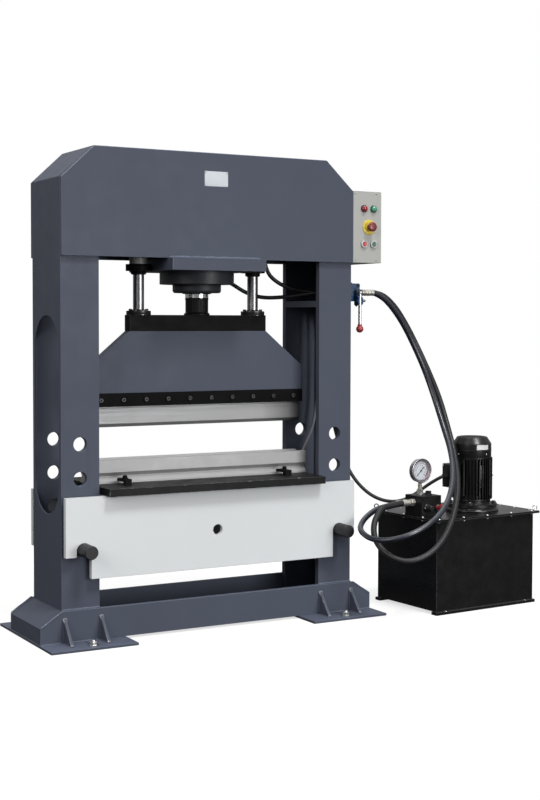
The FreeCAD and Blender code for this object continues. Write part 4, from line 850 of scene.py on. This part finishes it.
# ------------------------------------------------------------------ ram: holder screws, flanges, bush liners
def ram_parts():
    bm = bmesh.new()
    for x in (46, 138, 230, 322, 414):
        for sx in (-1, 1):
            screw_head(bm, Vector((x * sx * MM, -0.030, 0.873)), (0, -1, 0), 8.0, 8.0, "hex_socket", 0, 1)
            add_lathe(bm, [(0, 0), (4.9, 0), (4.9, 44), (0, 44)], Vector((x * sx * MM, -0.030, 0.873)), (0, 1, 0), 12, 1)
    for sx in (-1, 1):
        for k in range(4):
            a = math.radians(45 + 90 * k)
            x, y = 246 * sx + 33 * math.cos(a), 33 * math.sin(a)
            screw_head(bm, Vector((x * MM, y * MM, 1.2070)), (0, 0, 1), 6.5, 8.0, "hex_socket", 0, 1)
    o = obj_from("ram_cap_screws", bm, ["screw_worn", "seal_rubber"], "ram", 32.0)
    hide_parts("ram_screws")
    # black flanges round the guide rods' feet
    bm = bmesh.new()
    for sx in (-1, 1):
        p = Vector((246 * sx * MM, 0, 1.1922))
        add_lathe(bm, [(21.15, 0), (46.3, 0), (46.8, 0.8), (46.8, 14.0), (45.9, 15.2), (26, 15.2), (24.5, 16.4), (24.5, 19.0), (23.6, 20.2), (21.15, 20.4)], p, (0, 0, 1), 72, 0)
    obj_from("rod_flanges", bm, "black_edge_dark", "ram", 32.0)
    # steel liners that show between bush and head
    bm = bmesh.new()
    for sx in (-1, 1):
        prof = [(34.1, 0)]
        for k in range(5):
            prof += [(35.0, 0.6 + 8 * k), (35.0, 6.6 + 8 * k), (34.4, 7.2 + 8 * k), (34.4, 7.8 + 8 * k)]
        prof += [(34.1, 41.0)]
        add_lathe(bm, prof, Vector((246 * sx * MM, 0, 1.3836)), (0, 0, 1), 64, 0)
    obj_from("bush_liners", bm, "liner_steel", "press", 30.0)
    # wiper rings under the bushes and the gland
    bm = bmesh.new()
    for sx in (-1, 1):
        add_lathe(bm, [(21.25, 0), (27, 0), (28, -1.2), (25, -3.0), (21.25, -3.6)], Vector((246 * sx * MM, 0, 1.3470)), (0, 0, 1), 48, 0)
    add_lathe(bm, [(45.3, 0), (55, 0), (57, -1.4), (52, -4.0), (45.3, -4.6)], Vector((0, 0, 1.2770)), (0, 0, 1), 64, 0)
    obj_from("wiper_rings", bm, "seal_rubber", "press", 32.0)
    # ribbed dust sleeve on the rod coupling
    bm = bmesh.new()
    add_lathe(bm, [(43.6, 0), (45.6, 0.8), (45.6, 5.0), (44.2, 6.0), (44.2, 56.0), (45.4, 57.0), (45.4, 63.0), (43.6, 64.4)], Vector((0, 0, 1.1935)), (0, 0, 1), 192, 0,
              radial=lambda t, h: 1.0 - (0.018 * (0.5 + 0.5 * math.cos(32 * t)) ** 2 if 5.5 < h < 57 else 0.0))
    obj_from("coupling_ribs", bm, "coupling_black", "ram", 30.0)
ram_parts()

# ------------------------------------------------------------------ table: pin caps
def table_parts():
    bm = bmesh.new()
    for sx in (-1, 1):
        for sy in (-1, 1):
            p = Vector((541 * sx * MM, 0.2545 * sy, 0.344))
            add_lathe(bm, [(0, 0), (22.5, 0), (24.2, -1.2), (24.9, -3.0)], p, (0, sy, 0), 48, 0)
            add_lathe(bm, [(9, 0.02), (9, -1.0), (7.6, -1.4), (0, -0.7)], p, (0, sy, 0), 24, 0)
    obj_from("pin_faces", bm, "pin_face", "press", 30.0)
table_parts()

# ------------------------------------------------------------------ blank plate on the head, blank plate on the cowl
bm = bmesh.new()
add_prism(bm, rounded(98.5, 56, 2.0), Vector((0.00295, -0.1600, 1.7030)), (0, -1, 0), (0, 0, 1), 0.0009, 0, 0.15)
for sx in (-1, 1):
    for sz in (-1, 1):
        add_lathe(bm, [(2.2, 0), (2.0, 1.0), (1.1, 1.6), (0, 1.8)], Vector((0.00295 + 0.0445 * sx, -0.1608, 1.7030 + 0.0235 * sz)), (0, -1, 0), 14, 1)
obj_from("blank_plate", bm, ["plate_pale", "bright_zinc"], "press", 30.0)

def cowl_plate():
    bm = bmesh.new()
    cx0 = Vector(local(313, 150, 0))
    R = 0.0804
    ang0, ang1 = math.radians(-113.0), math.radians(-73.0)
    n = 12
    cols = []
    for k in range(n + 1):
        t = ang0 + (ang1 - ang0) * k / n
        e = Vector((math.cos(t), math.sin(t), 0))
        cols.append([bm.verts.new(cx0 + e * (R + dr) + Vector((0, 0, z))) for dr, z in ((0.0, 0.6405), (0.0006, 0.6405), (0.0006, 0.6600), (0.0, 0.6600))])
    for A, B in zip(cols, cols[1:]):
        for j in range(4):
            i = (j + 1) % 4
            bm.faces.new((A[j], A[i], B[i], B[j]))
    bm.faces.new(cols[0][::-1])
    bm.faces.new(cols[-1])
    obj_from("cowl_plate", bm, "label_pale", "press", 30.0)
cowl_plate()

# ------------------------------------------------------------------ power unit
def unit_parts():
    C = Vector(local(313, 150, 0))
    # cowl: rolled bead, grille slots on top, fixing screws
    bm = bmesh.new()
    add_lathe(bm, [(79.8, 0), (80.9, 0.8), (81.3, 2.2), (80.9, 3.6), (79.8, 4.4)], C + Vector((0, 0, 0.6335)), (0, 0, 1), 96, 0)
    add_lathe(bm, [(79.8, 0), (81.2, 0.6), (81.2, 3.0), (79.8, 3.6)], C + Vector((0, 0, 0.6045)), (0, 0, 1), 96, 0)
    for r in (14, 22, 30, 38, 46, 54):
        add_lathe(bm, [(r, 0), (r + 0.5, 1.5), (r + 2.4, 1.5), (r + 2.9, 0)], C + Vector((0, 0, 0.6896)), (0, 0, 1), 72, 0)
    for k in range(6):
        t = math.radians(60 * k + 15)
        add_prism(bm, [(-24, -1.4), (24, -1.4), (24, 1.4), (-24, 1.4)], C + Vector((0.033 * math.cos(t), 0.033 * math.sin(t), 0.6896)), (0, 0, 1), (-math.sin(t), math.cos(t), 0), 0.0019, 0)
    obj_from("cowl_details", bm, "motor_black", "press", 35.0)
    bm = bmesh.new()
    for k in range(4):
        t = math.radians(-80 + 90 * k)
        d = Vector((math.cos(t), math.sin(t), 0))
        screw_head(bm, C + d * 0.0800 + Vector((0, 0, 0.6200)), d, 3.6, 2.6, "cross", 0, 0)
    # earth screw on the side of the case
    t = math.radians(-31)
    d = Vector((math.cos(t), math.sin(t), 0))
    screw_head(bm, C + d * 0.0845 + Vector((0, 0, 0.531)), d, 4.6, 4.4, "hex", 0, 0)
    obj_from("motor_screws", bm, "bright_zinc", "press", 32.0)
    # bosses and cast ribs on the case and end bells
    bm = bmesh.new()
    for z, r in ((0.4270, 76.6), (0.5985, 78.6)):
        add_lathe(bm, [(r - 4, 0), (r, 0), (r + 0.6, 1.0), (r + 0.6, 4.0), (r, 5.0), (r - 4, 5.0)], C + Vector((0, 0, z)), (0, 0, 1), 96, 0)
    for k in range(4):
        t = math.radians(-62 + 90 * k)
        d = Vector((math.cos(t), math.sin(t), 0))
        add_lathe(bm, [(8, 0), (8, 12), (6.8, 14), (0, 14.2)], C + d * 0.0760 + Vector((0, 0, 0.4360)), (0, 0, -1), 20, 0)
        add_lathe(bm, [(5.2, 0), (5.2, 150), (0, 150)], C + d * 0.0795 + Vector((0, 0, 0.4500)), (0, 0, 1), 14, 0)
    t0 = math.radians(-97)
    d = Vector((math.cos(t0), math.sin(t0), 0))
    side = Vector((-math.sin(t0), math.cos(t0), 0))
    add_prism(bm, rounded(20, 92, 2.5), C + d * 0.0800 + Vector((0, 0, 0.530)), d, (0, 0, 1), 0.0048, 0, 0.6)
    for k in range(9):
        add_lathe(bm, [(2.0, 0), (1.7, 0.9), (0, 1.1)], C + d * 0.0848 + side * (0.0045 * (-1) ** k) + Vector((0, 0, 0.495 + 0.0088 * k)), d, 10, 0)
    obj_from("motor_castings", bm, "motor_black", "press", 35.0)
    # terminal box: lid line, lid screws
    bm = bmesh.new()
    a0 = 313 - 115
    pc = Vector(local(a0, 166, 531))
    ax_ = Vector((-math.cos(Q4), -math.sin(Q4), 0))
    add_prism(bm, rounded(68, 92, 6), pc, ax_, (0, 0, 1), 0.0022, 0, 0.5)
    for sb in (-1, 1):
        for sz in (-1, 1):
            pp = Vector(local(a0, 166 + 28 * sb, 531 + 40 * sz)) + ax_ * 0.0022
            screw_head(bm, pp, ax_, 3.4, 2.6, "cross", 1, 0)
    obj_from("terminal_lid", bm, ["motor_black", "bright_zinc"], "press", 35.0)
    # lid screws, eye bolts and motor bolts
    bm = bmesh.new()
    SCRS = [(a, -10.0) for a in (3.5, 130.5, 256.5, 386.5, 501.5)] + [(a, 390.0) for a in (3.5, 130.5, 256.5, 386.5, 501.5)] + \
           [(-10.0, b) for b in (76, 196, 315)] + [(530.0, b) for b in (36, 126, 216, 306)]
    for a, b in SCRS:
        add_lathe(bm, [(0, -10), (3, -10), (3, 0), (5.4, 0), (5.5, 0.8), (5.2, 2.2), (3.8, 3.6), (2.2, 4.0), (2.0, 3.4), (0, 3.2)], Vector(local(a, b, 383)), (0, 0, 1), 24, 0)
        hexnut(bm, Vector(local(a, b, 368.2)), (0, 0, 1), 9.4, 4.8, 0)
    for (a, b), dd, mi in (((527.0, -3.0), (0.55, 0.83, 0), 0), ((-7.0, 383.0), (0.62, 0.78, 0), 1)):
        dl = Vector((dd[0] * math.cos(Q4) - dd[1] * math.sin(Q4), dd[0] * math.sin(Q4) + dd[1] * math.cos(Q4), 0)).normalized()
        c = Vector(local(a, b, 395.5))
        u = Vector((0, 0, 1)).cross(dl).normalized()
        rows = []
        for k in range(40):
            t = 2 * math.pi * k / 40
            cc = u * math.cos(t) + Vector((0, 0, 1)) * math.sin(t)
            row = []
            for j in range(12):
                s = 2 * math.pi * j / 12
                row.append(bm.verts.new(c + cc * ((8.5 + 2.2 * math.cos(s)) * MM) + dl * (2.2 * math.sin(s) * MM)))
            rows.append(row)
        for k in range(40):
            A, B = rows[k], rows[(k + 1) % 40]
            for j in range(12):
                i = (j + 1) % 12
                bm.faces.new((A[j], A[i], B[i], B[j])).material_index = mi
        add_lathe(bm, [(0, 0), (6.4, 0), (6.6, 0.8), (5.2, 2.0), (3.4, 3.2), (3.2, 5.0), (0, 5.0)], Vector(local(a, b, 383)), (0, 0, 1), 28, mi)
    for k in range(4):
        t = math.radians(45 + 90 * k)
        p = Vector(local(313 + 91 * math.cos(t), 150 + 91 * math.sin(t), 414))
        add_lathe(bm, [(0, 0), (10.8, 0), (10.8, 1.6), (10.0, 2.0), (0, 2.0)], p, (0, 0, 1), 28, 1)
        hexnut(bm, p + Vector((0, 0, 0.002)), (0, 0, 1), 17, 8.0, 1)
        add_lathe(bm, [(4.9, 9), (4.9, 11.6), (4.2, 12.2), (0, 12.4)], p, (0, 0, 1), 20, 0)
        add_lathe(bm, [(0, -12), (5, -12), (5, 0), (0, 0)], p, (0, 0, 1), 12, 1)
    o = obj_from("unit_screws", bm, ["bright_zinc", "black_edge"], "press", 32.0)
    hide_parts("unit_fasteners")
    # bolts holding the bottom rails
    bm = bmesh.new()
    for a in (46, 474):
        for b in (-3.5, 383.5):
            p = Vector(local(a, b, 12.0))
            add_lathe(bm, [(0, 0), (4.4, 0), (4.6, 0.6), (4.2, 2.0), (2.4, 2.8), (0, 2.9)], p, (0, 0, 1), 20, 0)
    obj_from("rail_bolts", bm, "bright_zinc", "press", 32.0)
    # drain plug and level glass on the far end of the tank
    bm = bmesh.new()
    ex = Vector((math.cos(Q4), math.sin(Q4), 0))
    hexnut(bm, Vector(local(520.0, 60, 45)), ex, 22, 9.0, 0)
    add_prism(bm, rounded(26, 120, 8), Vector(local(520.0, 190, 280)), ex, (0, 0, 1), 0.006, 1, 0.8)
    add_prism(bm, rounded(11, 84, 5), Vector(local(526.0, 190, 280)), ex, (0, 0, 1), 0.0012, 2, 0.2)
    for z in (228, 332):
        screw_head(bm, Vector(local(526.0, 190, z)), ex, 6.0, 4.0, "hex", 0, 0)
    obj_from("tank_fittings", bm, ["zinc", "black_plastic", "glass_pale"], "press", 32.0)
unit_parts()

def block_parts():
    # collar under the relief cartridge's head, knurled heads
    bm = bmesh.new()
    fd = Vector((math.sin(Q4), -math.cos(Q4), 0))
    p = Vector(local(28, 95, 417))
    add_lathe(bm, [(10, 0), (15.5, 0), (16.6, 1.0), (16.6, 5.6), (15.6, 6.6), (10, 6.8)], p, fd, 6, 0)
    obj_from("cartridge_nut", bm, "bright_zinc", "press", 32.0)
    bm = bmesh.new()
    add_lathe(bm, [(0, 34.8), (9, 34.6), (11.8, 32.4), (12.2, 31), (12.2, 16), (15.0, 14.4), (15.2, 13), (15.2, 7.2), (14.2, 6.2), (9.9, 6.0), (9.9, -30), (0, -30)], p, fd, 48, 0,
              radial=lambda t, h: 1 + (0.02 * math.cos(18 * t) if 7 < h < 15 else 0))
    o = obj_from("cartridge_head", bm, "black_edge_dark", "press", 35.0)
    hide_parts("relief_cartridge")
    bm = bmesh.new()
    p2 = Vector(local(80, 95, 417))
    add_lathe(bm, [(0, -23), (6, -23), (6, 0.3), (8, 0.3), (8, 15), (10.2, 19), (14, 22.6), (14.2, 24), (14.2, 35), (13.4, 41), (11, 43), (0, 43.2)], p2, fd, 60, 0,
              radial=lambda t, h: 1 + (0.035 * math.cos(10 * t) if 22 < h < 42 else 0))
    o = obj_from("flow_knob_grip", bm, "red_plastic", "flow_knob", 35.0)
    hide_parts("relief_knob")
    bm = bmesh.new()
    add_lathe(bm, [(8.2, 0), (11.2, 0), (11.8, 0.8), (11.8, 5.0), (8.2, 5.4)], p2, fd, 6, 0)
    # plug screws on the block's faces
    for a, z in ((14, 452), (14, 396), (90, 396), (92, 452)):
        screw_head(bm, Vector(local(a, 95.0, z)), fd, 4.6, 1.6, "hex_socket", 1, 1)
    obj_from("block_screws", bm, ["bright_zinc", "black_edge_dark"], "press", 32.0)
block_parts()

# ------------------------------------------------------------------ pressure gauge
def gauge():
    GA, GB, GZ = 35.0, 150.0, 563.0
    fd = Vector((math.sin(Q4), -math.cos(Q4), 0))       # towards the reader
    ri = Vector((math.cos(Q4), math.sin(Q4), 0))
    up = Vector((0, 0, 1))
    c = Vector(local(GA, GB, GZ))
    bm = bmesh.new()
    add_lathe(bm, [(0, -14.5), (40, -14.5), (44.5, -13.6), (46.5, -11.5), (46.6, 8.6), (48.6, 9.2), (50.0, 10.2), (50.2, 12.0), (49.6, 13.6), (48.2, 14.2), (46.6, 13.4), (45.6, 11.4), (45.4, 6.2)], c, fd, 96, 0)
    # neck: square root, hexagon, threaded stub
    nk = Vector(local(GA, GB, 0))
    add_prism(bm, rounded(15, 15, 2.4), nk + up * 0.5105, up, (0, 1, 0), 0.010, 0, 0.5)
    add_lathe(bm, [(0, 454), (9, 454), (9, 465), (10.6, 465), (10.6, 466.5)], nk, up, 28, 2)
    hexnut(bm, nk + up * 0.4665, up, 25, 20.5, 2)
    add_lathe(bm, [(8.6, 487), (9.4, 488), (9.4, 491), (7.6, 492.2), (7.6, 499), (9.2, 500), (9.2, 504), (6.8, 505.2), (6.6, 514)], nk, up, 28, 1)
    o = obj_from("gauge_case", bm, ["gauge_steel", "brass_dull", "bright_zinc"], "press", 35.0)
    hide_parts("pressure_gauge")
    # dial with its scale
    bm = bmesh.new()
    add_lathe(bm, [(45.4, 4.6), (45.2, 5.0), (0, 5.0)], c, fd, 72, 0)
    z1 = 5.0
    def arc(r0, r1, a0, a1, mat, dz=0.25, n=None):
        n = n or max(2, int(abs(a1 - a0) / 4))
        prev = None
        for k in range(n + 1):
            t = math.radians(a0 + (a1 - a0) * k / n)
            e = ri * math.cos(t) + up * math.sin(t)
            cur = [bm.verts.new(c + e * (r * MM) + fd * ((z1 + h) * MM)) for r, h in ((r0, 0.0), (r0, dz), (r1, dz), (r1, 0.0))]
            if prev:
                for j in range(4):
                    i = (j + 1) % 4
                    f = bm.faces.new((prev[j], prev[i], cur[i], cur[j]))
                    f.material_index = mat
            else:
                bm.faces.new(cur[::-1]).material_index = mat
            prev = cur
        bm.faces.new(prev).material_index = mat
    # zero at lower left, clockwise to lower right
    arc(32.0, 32.9, 225, -45, 1)
    arc(33.4, 36.2, 45, -45, 2, 0.35)
    for k in range(51):
        a = 225 - 270 * k / 50
        big = k % 5 == 0
        arc(27.6 if big else 30.0, 32.2, a - (0.8 if big else 0.4), a + (0.8 if big else 0.4), 1, 0.3, 1)
    # numerals 0 to 10, drawn as strokes
    SEG = {"0": "abcdef", "1": "bc", "2": "abged", "3": "abgcd", "4": "fgbc", "5": "afgcd", "6": "afgedc", "7": "abc", "8": "abcdefg", "9": "abcdfg"}
    def stroke(p, q, w):
        d = (Vector(q) - Vector(p))
        L = d.length
        d.normalize()
        m = (Vector(p) + Vector(q)) / 2
        s = Vector((-d.y, d.x))
        pts = [Vector(p) - s * w, Vector(q) - s * w, Vector(q) + s * w, Vector(p) + s * w]
        lo = [bm.verts.new(c + (ri * v.x + up * v.y) * MM + fd * (z1 * MM)) for v in pts]
        hi = [bm.verts.new(c + (ri * v.x + up * v.y) * MM + fd * ((z1 + 0.3) * MM)) for v in pts]
        fs = [bm.faces.new(hi), bm.faces.new(lo[::-1])]
        for j in range(4):
            i = (j + 1) % 4
            fs.append(bm.faces.new((lo[j], lo[i], hi[i], hi[j])))
        for f in fs:
            f.material_index = 3
    def digit(ch, x, y, h):
        w = h * 0.5
        P = {"a": ((x, y + h), (x + w, y + h)), "b": ((x + w, y + h), (x + w, y + h / 2)), "c": ((x + w, y + h / 2), (x + w, y)), "d": ((x, y), (x + w, y)),
             "e": ((x, y), (x, y + h / 2)), "f": ((x, y + h / 2), (x, y + h)), "g": ((x, y + h / 2), (x + w, y + h / 2))}
        for s in SEG[ch]:
            stroke(P[s][0], P[s][1], h * 0.085)
    for k in range(11):
        a = math.radians(225 - 27 * k)
        txt = str(k)
        wtot = 3.0 * len(txt) + 1.6 * (len(txt) - 1)
        x0, y0 = 22.8 * math.cos(a) - wtot / 2, 22.8 * math.sin(a) - 2.6
        for j, ch in enumerate(txt):
            digit(ch, x0 + j * 4.0, y0, 5.2)
    # deep ring between dial and glass
    add_lathe(bm, [(45.4, 8.6), (41.5, 8.3), (39.0, 7.2), (37.6, 5.8), (37.3, 5.0)][::-1], c, fd, 96, 4)
    o = obj_from("gauge_dial", bm, ["dial_white", "dial_black", "dial_red", "dial_blue", "gauge_ring"], "press", 20.0)
    # glass
    bm = bmesh.new()
    add_lathe(bm, [(45.5, 9.0), (45.5, 10.2), (44.6, 10.6), (30, 11.0), (0, 11.2)], c, fd, 72, 0)
    obj_from("gauge_glass", bm, "gauge_glass", "press", 40.0)
    # needle with a counterweight and hub
    bm = bmesh.new()
    na = math.radians(225)
    e = Vector((math.cos(na), math.sin(na)))
    s = Vector((-e.y, e.x))
    pts = [e * 31, e * 18 + s * 0.9, e * 3 + s * 1.3, -e * 10 + s * 1.2, -e * 13 + s * 2.6, -e * 21 + s * 2.2, -e * 21 - s * 2.2, -e * 13 - s * 2.6, -e * 10 - s * 1.2, e * 3 - s * 1.3, e * 20 - s * 0.9]
    lo = [bm.verts.new(c + (ri * v.x + up * v.y) * MM + fd * (7.0 * MM)) for v in pts]
    hi = [bm.verts.new(c + (ri * v.x + up * v.y) * MM + fd * (7.6 * MM)) for v in pts]
    bm.faces.new(hi)
    bm.faces.new(lo[::-1])
    for j in range(len(pts)):
        i = (j + 1) % len(pts)
        bm.faces.new((lo[j], lo[i], hi[i], hi[j]))
    add_lathe(bm, [(1.9, 0), (1.9, 6.5), (4, 6.6), (4, 8.0), (2.6, 8.5), (0, 8.6)], c, fd, 28, 0)
    o = obj_from("needle_blade", bm, "dial_black", "needle", 30.0)
    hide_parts("gauge_needle")
gauge()

# ------------------------------------------------------------------ supply plug in the base, tie on its coil
bm = bmesh.new()
px = Vector((0, -0.084, 0.027))
add_lathe(bm, [(6.2, 352), (9.4, 351.5), (9.8, 350), (9.8, 335), (12.6, 333.5), (13.4, 331), (13.4, 323), (21, 321), (23.2, 318), (23.2, 268), (26.4, 266.5), (26.9, 265),
    (26.9, 216.5), (26.2, 215), (24.2, 215), (24.0, 216), (24.0, 249), (0, 249)], px, (1, 0, 0), 56, 0, radial=lambda t, h: 1 + (0.018 * math.cos(16 * t) if 270 < h < 317 else 0))
for k in range(5):
    t = math.radians(72 * k + 90)
    add_lathe(bm, [(0, 222), (1.8, 222), (2.5, 224), (2.5, 251), (0, 251)], px + Vector((0, 0.014 * math.cos(t), 0.014 * math.sin(t))), (1, 0, 0), 16, 1)
plug = obj_from("plug_five_pin", bm, ["red_plastic", "zinc"], "press", 35.0)
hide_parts("supply_plug")
bm = bmesh.new()
for ang in (60, 250):
    t = math.radians(ang)
    c = Vector((0.500 + 0.072 * math.cos(t), 0.072 * math.sin(t), 0.0222))
    e = Vector((math.cos(t), math.sin(t), 0))
    s = Vector((-math.sin(t), math.cos(t), 0))
    rows = []
    for k in range(28):
        a = 2 * math.pi * k / 28
        off = e * (19.6 * MM * math.copysign(abs(math.cos(a)) ** 0.6, math.cos(a))) + Vector((0, 0, 12.2 * MM * math.copysign(abs(math.sin(a)) ** 0.6, math.sin(a))))
        n_ = (e * math.cos(a) + Vector((0, 0, math.sin(a))))
        rows.append([bm.verts.new(c + off + n_ * (dn * MM) + s * (ds * MM)) for dn, ds in ((0, -2.4), (0.9, -2.4), (0.9, 2.4), (0, 2.4))])
    for k in range(28):
        A, B = rows[k], rows[(k + 1) % 28]
        for j in range(4):
            i = (j + 1) % 4
            bm.faces.new((A[j], A[i], B[i], B[j]))
tie = obj_from("coil_ties", bm, "black_plastic", "press", 35.0)

# ------------------------------------------------------------------ stage and light
def floor():
    bm = bmesh.new()
    c0 = bm.verts.new((0.35, 0.0, 0.0))
    rings = []
    for r in (1.0, 2.0, 3.0, 4.0, 5.5):
        rings.append([bm.verts.new((0.35 + r * math.cos(2 * math.pi * k / 96), r * math.sin(2 * math.pi * k / 96), 0)) for k in range(96)])
    for k in range(96):
        bm.faces.new((c0, rings[0][k], rings[0][(k + 1) % 96]))
    for A, B in zip(rings, rings[1:]):
        for k in range(96):
            j = (k + 1) % 96
            bm.faces.new((A[k], B[k], B[j], A[j]))
    me = bpy.data.meshes.new("floor")
    bm.to_mesh(me)
    bm.free()
    o = bpy.data.objects.new("floor", me)
    scene.collection.objects.link(o)
    m, nt, b = new_mat("floor_white")
    v = coords(nt)
    nt.links.new(ramp(nt, noise(nt, v, 0.6, 3.0), [(0.3, 0.36), (0.7, 0.38)]), b.inputs["Base Color"])
    b.inputs["Roughness"].default_value = 0.75
    b.inputs["Specular IOR Level"].default_value = 0.1
    b.inputs["Emission Color"].default_value = (1, 1, 1, 1)
    b.inputs["Emission Strength"].default_value = 0.66
    # fades into the backdrop with distance from the press
    mp = N(nt, "ShaderNodeMapping")
    mp.inputs["Location"].default_value = (-0.35, 0.0, 0.0)
    tc = N(nt, "ShaderNodeTexCoord")
    nt.links.new(tc.outputs["Object"], mp.inputs["Vector"])
    ln = N(nt, "ShaderNodeVectorMath", operation="LENGTH")
    nt.links.new(mp.outputs["Vector"], ln.inputs[0])
    fade = maprange(nt, ln.outputs["Value"], 0.0, 1.0, 1.2, 2.6)
    tr = N(nt, "ShaderNodeEmission")
    tr.inputs["Color"].default_value = (1, 1, 1, 1)
    tr.inputs["Strength"].default_value = 1.0
    mx = N(nt, "ShaderNodeMixShader")
    nt.links.new(fade, mx.inputs[0])
    nt.links.new(b.outputs[0], mx.inputs[1])
    nt.links.new(tr.outputs[0], mx.inputs[2])
    nt.links.new(mx.outputs[0], nt.nodes["Material Output"].inputs["Surface"])
    me.materials.append(m)
    o.visible_diffuse = False
    o.visible_glossy = False
    return o
floor()

def area(name, loc, target, size, size_y, power, col=(1, 1, 1), spec=1.0):
    l = bpy.data.lights.new(name, "AREA")
    l.shape = "RECTANGLE"
    l.size, l.size_y = size, size_y
    l.energy = power
    l.color = col
    l.specular_factor = spec
    o = bpy.data.objects.new(name, l)
    scene.collection.objects.link(o)
    o.location = loc
    o.rotation_mode = "QUATERNION"
    o.rotation_quaternion = (Vector(target) - Vector(loc)).to_track_quat("-Z", "Y")
    return o
area("key", (2.4, -7.5, 1.5), (0.2, 0, 0.75), 3.4, 2.8, 272.0)
area("fill", (-5.0, -2.8, 3.4), (0.0, 0, 1.1), 3.0, 3.0, 120.0, (1.0, 0.94, 0.89))
area("top", (0.4, 1.1, 5.0), (0.3, 0.3, 0.3), 4.5, 4.5, 110.0)
sun = bpy.data.lights.new("ceiling", "SUN")
sun.energy = 1.78
sun.angle = math.radians(14)
so = bpy.data.objects.new("ceiling", sun)
scene.collection.objects.link(so)
so.rotation_mode = "QUATERNION"
so.rotation_quaternion = Vector((-0.10, 0.50, -0.87)).to_track_quat("-Z", "Y")

world = bpy.data.worlds.new("studio")
scene.world = world
world.use_nodes = True
wn = world.node_tree
bg = wn.nodes["Background"]
tc = wn.nodes.new("ShaderNodeTexCoord")
sx_ = wn.nodes.new("ShaderNodeSeparateXYZ")
wn.links.new(tc.outputs["Generated"], sx_.inputs[0])
mr = wn.nodes.new("ShaderNodeMapRange")
mr.inputs["From Min"].default_value = -1.0
mr.inputs["From Max"].default_value = 1.0
wn.links.new(sx_.outputs["Z"], mr.inputs["Value"])
cr = wn.nodes.new("ShaderNodeValToRGB")
el = cr.color_ramp.elements
for pos_, val in ((0.0, 0.03), (0.42, 0.07), (0.52, 0.30), (0.75, 0.48), (1.0, 0.58)):
    e = el.new(pos_) if pos_ not in (0.0, 1.0) else el[0 if pos_ == 0.0 else len(el) - 1]
    e.color = (val, val, val, 1.0)
wn.links.new(mr.outputs["Result"], cr.inputs["Fac"])
wn.links.new(cr.outputs["Color"], bg.inputs["Color"])
bg.inputs["Strength"].default_value = 1.0

def dome():
    bm = bmesh.new()
    bmesh.ops.create_uvsphere(bm, u_segments=48, v_segments=24, radius=60.0)
    me = bpy.data.meshes.new("backdrop")
    bm.to_mesh(me)
    bm.free()
    o = bpy.data.objects.new("backdrop", me)
    scene.collection.objects.link(o)
    m = bpy.data.materials.new("backdrop_white")
    m.use_nodes = True
    nt = m.node_tree
    nt.nodes.clear()
    e = nt.nodes.new("ShaderNodeEmission")
    e.inputs["Color"].default_value = (1, 1, 1, 1)
    e.inputs["Strength"].default_value = 1.0
    out = nt.nodes.new("ShaderNodeOutputMaterial")
    nt.links.new(e.outputs[0], out.inputs["Surface"])
    me.materials.append(m)
    o.visible_diffuse = False
    o.visible_glossy = False
    o.visible_transmission = False
    o.visible_shadow = False
    return o
dome()
